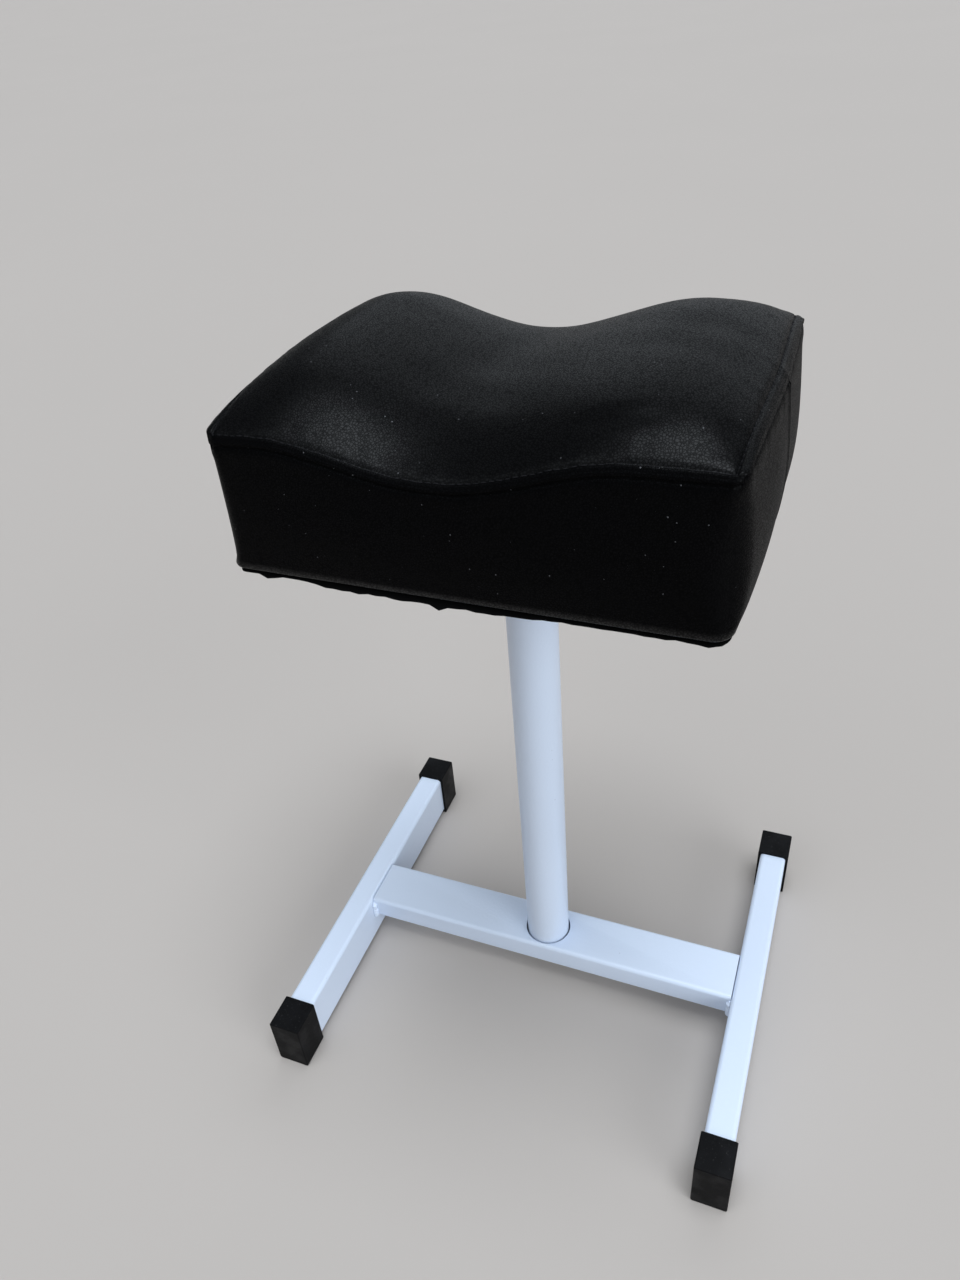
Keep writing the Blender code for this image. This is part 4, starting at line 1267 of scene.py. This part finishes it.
class FOOTREST_OT_foot_caps(bpy.types.Operator):
    """Make the four plastic sleeve caps on the leg ends"""

    bl_idname = "footrest.foot_caps"
    bl_label = "Foot Caps"

    def execute(self, context):
        base = settings().base
        hollow, edge = 2 * base.cap_wall, base.cap_edge
        for node in (f"{corner}_cap" for corner in CORNERS):
            low, high, middle, size = extent(node)
            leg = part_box("left_leg" if "left" in node else "right_leg")
            end = -1 if "front" in node else 1
            closed, opened, leg_end = high.y, low.y, leg[1].y
            if end < 0:
                closed, opened, leg_end = low.y, high.y, leg[0].y
            # Inset, place along the leg and corner radius of each ring, from the inside out
            stations = [(hollow, leg_end + end * CAP_FLOOR_GAP, base.tube_corner),
                        (hollow, opened - end * CAP_LIP, base.tube_corner),
                        (hollow - CAP_MOUTH, opened, base.tube_corner),
                        (CAP_RIM, opened, base.cap_corner),
                        (0.0, opened + end * CAP_RIM_DEPTH, base.cap_corner)]
            for turn in range(CAP_ROUND_STEPS + 1):
                angle = QUARTER * turn / CAP_ROUND_STEPS
                place = closed - end * edge * (1 - math.sin(angle))
                stations.append((2 * edge * (1 - math.cos(angle)), place, base.cap_corner))
            stations.append((2 * edge + CAP_FACE_INSET, closed, base.cap_corner))
            rings = [ring_across(section(size.x - inset, size.z - inset, radius), middle, 1, place)
                     for inset, place, radius in stations]
            add_piece(f"{node}_moulded", skinned(rings), moulded_plastic, BASE, node)
        return {"FINISHED"}


class FOOTREST_OT_post(bpy.types.Operator):
    """Make the round post, the plate on its top and their weld"""

    bl_idname = "footrest.post"
    bl_label = "Post and Plate"

    def execute(self, context):
        base = settings().base
        radius, top, foot, edge = POST_HIGH.x, POST_HIGH.z, POST_LOW.z, POST_EDGE
        bore = radius - base.post_wall
        profile = [(bore, top), (radius - edge, top), (radius, top - edge),
                   (radius, top - 3 * edge), (radius, foot + 3 * edge), (radius, foot + edge),
                   (radius - edge, foot), (bore, foot)]
        add_piece("post", turned(profile, True), white_paint, UPPER, "post_tube")

        low, high, _, size = extent("top_plate")
        rounding = base.plate_edge
        levels = [(inset, low.z + rise * rounding) for inset, rise in PLATE_RINGS]
        levels += [(inset, high.z - rise * rounding) for inset, rise in reversed(PLATE_RINGS)]
        rings = []
        for inset, height in levels:
            draw = 2 * inset * rounding
            outline = section(size.x - draw, size.y - draw, base.plate_corner)
            rings.append([Vector((*point, height)) for point in outline])
        add_piece("post_plate", skinned(rings), white_paint, UPPER, "top_plate")

        _, high, _, size = extent("top_plate_weld")
        rings = []
        for step in range(PLATE_WELD_STEPS):
            angle = 2 * math.pi * step / PLATE_WELD_STEPS
            way = Vector((*toward(angle), 0.0))
            root = way * (radius + PLATE_WELD_ROOT) + Vector((0, 0, high.z + PLATE_WELD_ROOT))

            def reach(lean):
                beat = math.cos(PLATE_WELD_RIPPLES * angle + PLATE_WELD_BOW * math.sin(2 * lean))
                uneven = PLATE_WELD_UNEVEN * math.sin(PLATE_WELD_LOBES * angle)
                return size.z * PLATE_WELD_SHARE * (1 + PLATE_WELD_RIPPLE * beat + uneven)

            rings.append(bead_ring(root, root, way, Vector((0, 0, -1)), reach))
        add_piece("post_plate_weld", skinned(rings, True), white_paint, UPPER, "top_plate_weld")
        return {"FINISHED"}


# Lining

LINING_STEP = 0.005
LINING_EDGE = (0.0, 0.0008, 0.0018, 0.0032, 0.0052, 0.0080)
LINING_MARGIN = 0.0012
LINING_THICKNESS = 0.0005
LINING_LIFT = 0.0001

# Start and width of where the edge hangs loose, and height, place and width of its torn tips
LINING_FRONT = (0.06, 0.03)
LOOSE_LEFT = (-0.088, 0.012)
LOOSE_RIGHT = (0.02, 0.03)
LINING_TIPS = ((0.9, -0.109, 0.0035), (0.6, -0.013, 0.003), (0.15, 0.120, 0.004))
TIGHT_HANG, LOOSE_HANG, RIGHT_LOSS = 0.30, 0.72, 0.75
HANG_REACH = 0.0036
FRAY, FRAY_PERIODS = 0.18, (0.0093, 0.0217, 0.0061)
RAW_EDGE, RAW_EDGE_REACH = 0.004, 0.002
RAW_EDGE_PERIODS = (0.0113, 0.0079, 0.031)
PLATE_HALF_X, PLATE_HALF_Y = 0.066, 0.056
SAG_DEPTH = 0.0009
SAG_WIDTH = 0.012
SAG_INSET = 0.016
SAG_UNEVEN, SAG_PERIODS = 0.4, (0.06, 0.037)


def lining_drop(x, y, inset, droop):
    """How far the lining lies below its stretched level: a raw edge that hangs, and a sag."""
    loose = ramp(x, *LOOSE_LEFT) * (1 - RIGHT_LOSS * ramp(x, *LOOSE_RIGHT))
    tips = sum(bell(x, *tip) for tip in LINING_TIPS)
    frayed = 1 + FRAY * waver(x + y, *FRAY_PERIODS)
    front = ramp(-y, *LINING_FRONT)
    hang = droop * frayed * (TIGHT_HANG + front * (LOOSE_HANG * loose + tips))
    off_plate = np.maximum(np.abs(x) - PLATE_HALF_X, np.abs(y) - PLATE_HALF_Y)
    sag = SAG_DEPTH * ramp(off_plate, 0.0, SAG_WIDTH) * ramp(inset, SAG_INSET, SAG_WIDTH)
    uneven = 1 + SAG_UNEVEN * waver(x - y, *SAG_PERIODS)
    return hang * np.exp(-inset / HANG_REACH) + sag * uneven


class FOOTREST_OT_lining(bpy.types.Operator):
    """Stretch the thin cloth under the board, with its raw edge hanging a little"""

    bl_idname = "footrest.lining"
    bl_label = "Underside Lining"

    def execute(self, context):
        pad = settings().pad
        form = PadForm(pad)
        half_x, half_y = (half - LINING_MARGIN for half in form.foot_half)
        us = edge_stations(half_x, LINING_EDGE, LINING_STEP)
        vs = edge_stations(half_y, LINING_EDGE, LINING_STEP)
        grid_u, grid_v = np.meshgrid(us, vs, indexing="ij")
        x, y = form.outline(grid_u, grid_v, 0.0, LINING_MARGIN)
        inset = np.minimum((1 - np.abs(grid_u)) * half_x, (1 - np.abs(grid_v)) * half_y)
        frayed = 1 + waver(x - y, *RAW_EDGE_PERIODS)
        raw_edge = 1 - RAW_EDGE * np.exp(-inset / RAW_EDGE_REACH) * frayed
        level = LINING_FLOOR + LINING_THICKNESS / 2 + LINING_LIFT
        z = level - lining_drop(x, y, inset, pad.lining_droop)
        points = np.stack((x * raw_edge, y * raw_edge, z), axis=-1).reshape(-1, 3)
        mesh = bpy.data.meshes.new("lining_in_work")
        number = np.arange(x.size).reshape(x.shape)
        mesh.from_pydata(points.tolist(), [], grid_quads(number))
        item = linked("lining_in_work", mesh)
        thick = item.modifiers.new("Thickness", "SOLIDIFY")
        thick.thickness = LINING_THICKNESS
        thick.offset = 0.0
        cloth = evaluated_mesh(item)
        cloth.shade_smooth()
        piece = add_piece("lining_cloth", cloth, spunbond_cloth, UPPER, "underside_lining")
        return {"FINISHED"}


# Fixings

STAPLE_COUNT = 12
STAPLE_BEND_STEPS = 4
STAPLE_SIDES = 8
STAPLE_BEND, STAPLE_WIDE, STAPLE_FLAT = 0.9, 1.1, 0.9
STAPLE_LOOSE_TURN = 0.06
FASTENER_SEED = 3

SCREW_STEPS = 40
SCREW_TURN, SCREW_LOOSE_TURN = 0.4, 0.9
SCREW_HEAD = ((0.0008, 0.0), (0.0022, 0.00008), (0.0036, 0.0004), (0.0047, 0.0011),
              (0.0054, 0.0021), (0.00575, 0.0033), (0.00575, 0.0040))
SCREW_SHANK, SCREW_TIP, SCREW_POINT = 0.0029, 0.0022, 0.0008
RECESS_SIZE = (0.0056, 0.0013, 0.0044)
RECESS_TAPER = 0.55

WASHER_STEPS = 64
WASHER_EASE = 0.00025
SCREW_WASHER_BORE = 0.0033
BOLT_WASHER_BORE = 0.0053
BOLT_STEPS = 72
BOLT_SHANK = 0.0049
BOLT_POINT = 0.0008
BOLT_HEAD_GAP = 0.0002
BOLT_ROUNDNESS = 0.97

# Rise and roundness of the rings on the bolt head's edge
BOLT_CHAMFER = ((0.0, 1.0), (0.0007, 0.35), (0.0014, 0.0))


def set_fasteners(name, pattern, nodes, turns, loose_turn):
    """Piece of one fastener's copies at the feet of the frame's nodes."""
    places = bpy.data.meshes.new("places")
    boxes = [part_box(node) for node in nodes]
    feet = [((low.x + high.x) / 2, (low.y + high.y) / 2, low.z) for low, high in boxes]
    places.from_pydata(feet, [], [])
    places.attributes.new("turn", "FLOAT", "POINT").data.foreach_set("value", turns)
    fastener = linked("fastener_pattern", pattern)
    mesh = fastener_tree().grown(linked("places", places), {
        "Fastener": fastener, "Loose Turn": loose_turn, "Seed": FASTENER_SEED,
        "Material": material(zinc_plating)})
    bpy.data.objects.remove(fastener, do_unlink=True)
    add_piece(name, smooth(mesh), zinc_plating, UPPER, *nodes)


def staple_mesh(crown, leg, wire):
    """Bent staple with its crown on the level and its legs up."""
    bend = wire * STAPLE_BEND
    half = crown / 2 - wire / 2
    spine = [Vector((-half, 0, leg)), Vector((-half, 0, wire / 2 + bend))]
    for turn in range(1, STAPLE_BEND_STEPS + 1):
        angle = QUARTER * turn / STAPLE_BEND_STEPS
        spine.append(Vector((-half + bend * (1 - math.cos(angle)), 0,
                             wire / 2 + bend * (1 - math.sin(angle)))))
    spine += [Vector((-point.x, 0, point.z)) for point in reversed(spine)]
    aside = Vector((0, 1, 0))
    angles = [math.pi * (2 * step + 1) / STAPLE_SIDES for step in range(STAPLE_SIDES)]
    rings = []
    for index, point in enumerate(spine):
        before, after = spine[max(index - 1, 0)], spine[min(index + 1, len(spine) - 1)]
        up = (after - before).normalized().cross(aside)
        rings.append([point + wire / 2 * (math.cos(angle) * aside * STAPLE_WIDE +
                                          math.sin(angle) * up * STAPLE_FLAT)
                      for angle in angles])
    return skinned(rings)


class FOOTREST_OT_staples(bpy.types.Operator):
    """Drive the staples that hold the hem and the lining"""

    bl_idname = "footrest.staples"
    bl_label = "Staples"

    def execute(self, context):
        nodes = [f"staple_{number:02d}" for number in range(1, STAPLE_COUNT + 1)]
        sizes = [extent(node)[3] for node in nodes]
        turns = [0.0 if size.x > size.y else QUARTER for size in sizes]
        wire, crown = sorted(sizes[0].xy)
        pattern = staple_mesh(crown, sizes[0].z, wire)
        set_fasteners("hem_staples", pattern, nodes, turns, STAPLE_LOOSE_TURN)
        return {"FINISHED"}


def cross_recess():
    """Tapered cross that cuts the recess of a screw head, open side down."""
    bm = bmesh.new()
    for turn in (0.0, QUARTER):
        verts = bmesh.ops.create_cube(bm, size=1.0)["verts"]
        for vert in verts:
            taper = 1.0 if vert.co.z < 0 else RECESS_TAPER
            wide, thin, deep = (part * size for part, size in zip(vert.co, RECESS_SIZE))
            vert.co = (wide * taper, thin * taper, deep)
        bmesh.ops.rotate(bm, verts=verts, cent=(0, 0, 0), matrix=Matrix.Rotation(turn, 3, "Z"))
    mesh = bpy.data.meshes.new("cross_recess")
    bm.to_mesh(mesh)
    bm.free()
    return mesh


def add_washer(node, bore):
    """Flat washer with eased edges, in place of a node."""
    low, high, middle, size = extent(node)
    radius, ease = size.x / 2, WASHER_EASE
    profile = [(bore, low.z + ease), (bore + ease, low.z), (radius - ease, low.z),
               (radius, low.z + ease), (radius, high.z - ease), (radius - ease, high.z),
               (bore + ease, high.z), (bore, high.z - ease)]
    add_piece(f"{node}_turned", turned(profile, True, WASHER_STEPS, middle.xy), zinc_plating,
              UPPER, node)


class FOOTREST_OT_plate_fixings(bpy.types.Operator):
    """Set the screws and washers under the plate, and finish the board above it"""

    bl_idname = "footrest.plate_fixings"
    bl_label = "Plate Fixings"

    def execute(self, context):
        nodes = [f"plate_screw_{corner}" for corner in CORNERS]
        total = extent(nodes[0])[3].z
        profile = [*SCREW_HEAD, (SCREW_SHANK, SCREW_HEAD[-1][1]),
                   (SCREW_SHANK, total - SCREW_POINT), (SCREW_TIP, total)]
        pattern = carved(turned(profile, steps=SCREW_STEPS), [cross_recess()])
        turns = [SCREW_TURN] * len(nodes)
        set_fasteners("plate_screws", pattern, nodes, turns, SCREW_LOOSE_TURN)
        for corner in CORNERS:
            add_washer(f"plate_washer_{corner}", SCREW_WASHER_BORE)
        dress_nodes(zinc_plating, *(f"tee_nut_{corner}" for corner in CORNERS))
        dress_nodes(sawn_plywood, "base_board")
        return {"FINISHED"}


def hexagon(across_corners, height, roundness):
    """Ring that goes from a hexagon at roundness 0 to its inner circle at 1."""
    inner = across_corners / 2 * math.cos(math.pi / 6)
    ring = []
    for step in range(BOLT_STEPS):
        angle = 2 * math.pi * step / BOLT_STEPS
        flat = inner / math.cos((angle + math.pi / 6) % (math.pi / 3) - math.pi / 6)
        reach = blended(flat, min(flat, inner) * BOLT_ROUNDNESS, roundness)
        ring.append(Vector((reach * math.cos(angle), reach * math.sin(angle), height)))
    return ring


class FOOTREST_OT_pivot(bpy.types.Operator):
    """Make the bolt and washers that hold the post, and finish what hides in the crossbar"""

    bl_idname = "footrest.pivot"
    bl_label = "Pivot Bolt"

    def execute(self, context):
        low, high, _, size = extent("pivot_bolt")
        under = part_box("pivot_spring_washer")[0].z - BOLT_HEAD_GAP
        across = max(size.x, size.y)
        rings = [hexagon(across, low.z + rise, roundness) for rise, roundness in BOLT_CHAMFER]
        rings += [hexagon(across, under, 0.0), circle(BOLT_SHANK, under, BOLT_STEPS),
                  circle(BOLT_SHANK, high.z - BOLT_POINT, BOLT_STEPS),
                  circle(BOLT_SHANK - BOLT_POINT, high.z, BOLT_STEPS)]
        add_piece("pivot_hex_bolt", skinned(rings), zinc_plating, UPPER, "pivot_bolt")
        add_washer("pivot_flat_washer", BOLT_WASHER_BORE)
        dress_nodes(zinc_plating, "pivot_spring_washer", "post_plug")
        dress_nodes(turned_nylon, "slip_washer")
        return {"FINISHED"}


# Stage

FLOOR_TOP, FLOOR_UNDERSIDE = -0.0002, -0.012

# Name, strength setting, direction of the source and width in degrees of each soft light
LAMPS = (("overhead_light", "key_strength", (0.11, -0.05, 1.0), 38),
         ("back_light", "back_strength", (-0.02, 0.44, 0.20), 62),
         ("right_light", "side_strength", (1.0, -0.50, 0.38), 44),
         ("front_light", "front_strength", (-0.30, -0.70, 1.0), 52))


class FOOTREST_OT_stage(bpy.types.Operator):
    """Set up the ground, the light and the camera"""

    bl_idname = "footrest.stage"
    bl_label = "Stage"

    def execute(self, context):
        stage = settings().stage
        scene = context.scene
        scene.view_settings.view_transform = "Standard"
        ground = turned([(stage.floor_radius, FLOOR_UNDERSIDE), (stage.floor_radius, FLOOR_TOP)])
        dress(ground, plain_ground)
        linked("ground", ground)

        world = bpy.data.worlds.new("soft_sky")
        world.use_nodes = True
        world.node_tree.nodes.remove(world.node_tree.nodes["Background"])
        scene.world = world
        graph = Graph(world.node_tree)
        sky = graph.node("ShaderNodeBackground",
                         {"Color": stage.light_tint, "Strength": stage.sky_strength})
        backdrop = graph.node("ShaderNodeBackground", {"Color": stage.backdrop, "Strength": 1.0})
        seen = graph.node("ShaderNodeLightPath", output="Is Camera Ray")
        both = graph.node("ShaderNodeMixShader", {0: seen, 1: sky, 2: backdrop})
        graph.feed(world.node_tree.nodes["World Output"].inputs["Surface"], both)

        for name, strength, source, width in LAMPS:
            light = bpy.data.lights.new(name, "SUN")
            light.energy = getattr(stage, strength)
            light.angle = math.radians(width)
            light.color = stage.light_tint
            turn = Vector(source).to_track_quat("Z", "Y")
            linked(name, light).rotation_euler = turn.to_euler()

        camera = linked("photo_camera", bpy.data.cameras.new("photo_camera"))
        camera.data.sensor_width = 36.0
        camera.data.lens = stage.camera_lens
        camera.data.clip_start = 0.01
        camera.data.clip_end = 200.0
        camera.location = stage.camera_place
        camera.rotation_euler = stage.camera_turn
        scene.camera = camera
        return {"FINISHED"}


OPERATORS = (FOOTREST_OT_legs, FOOTREST_OT_crossbar, FOOTREST_OT_weld_beads,
             FOOTREST_OT_foot_caps, FOOTREST_OT_post, FOOTREST_OT_pivot,
             FOOTREST_OT_plate_fixings, FOOTREST_OT_pad_cover, FOOTREST_OT_stitches,
             FOOTREST_OT_lining, FOOTREST_OT_staples, FOOTREST_OT_stage)


class FOOTREST_PT_pieces(bpy.types.Panel):
    """Buttons for the footrest's pieces"""

    bl_idname = "FOOTREST_PT_pieces"
    bl_label = "Pedicure Footrest"
    bl_space_type = "VIEW_3D"
    bl_region_type = "UI"
    bl_category = "Footrest"

    def draw(self, context):
        for operator in OPERATORS:
            self.layout.operator(operator.bl_idname)


CLASSES = (PadSizes, BaseSizes, Colours, StageSettings, FootrestSettings, *OPERATORS,
           FOOTREST_PT_pieces)


def register():
    """Add the classes and the settings to Blender."""
    for item in CLASSES:
        bpy.utils.register_class(item)
    bpy.types.Scene.footrest = PointerProperty(type=FootrestSettings)


def unregister():
    """Take the classes and the settings out of Blender."""
    del bpy.types.Scene.footrest
    for item in reversed(CLASSES):
        bpy.utils.unregister_class(item)


def main():
    """Make every piece."""
    register()
    bpy.ops.footrest.legs()
    bpy.ops.footrest.crossbar()
    bpy.ops.footrest.weld_beads()
    bpy.ops.footrest.foot_caps()
    bpy.ops.footrest.post()
    bpy.ops.footrest.pivot()
    bpy.ops.footrest.plate_fixings()
    bpy.ops.footrest.pad_cover()
    bpy.ops.footrest.stitches()
    bpy.ops.footrest.lining()
    bpy.ops.footrest.staples()
    bpy.ops.footrest.stage()


if __name__ == "__main__":
    main()
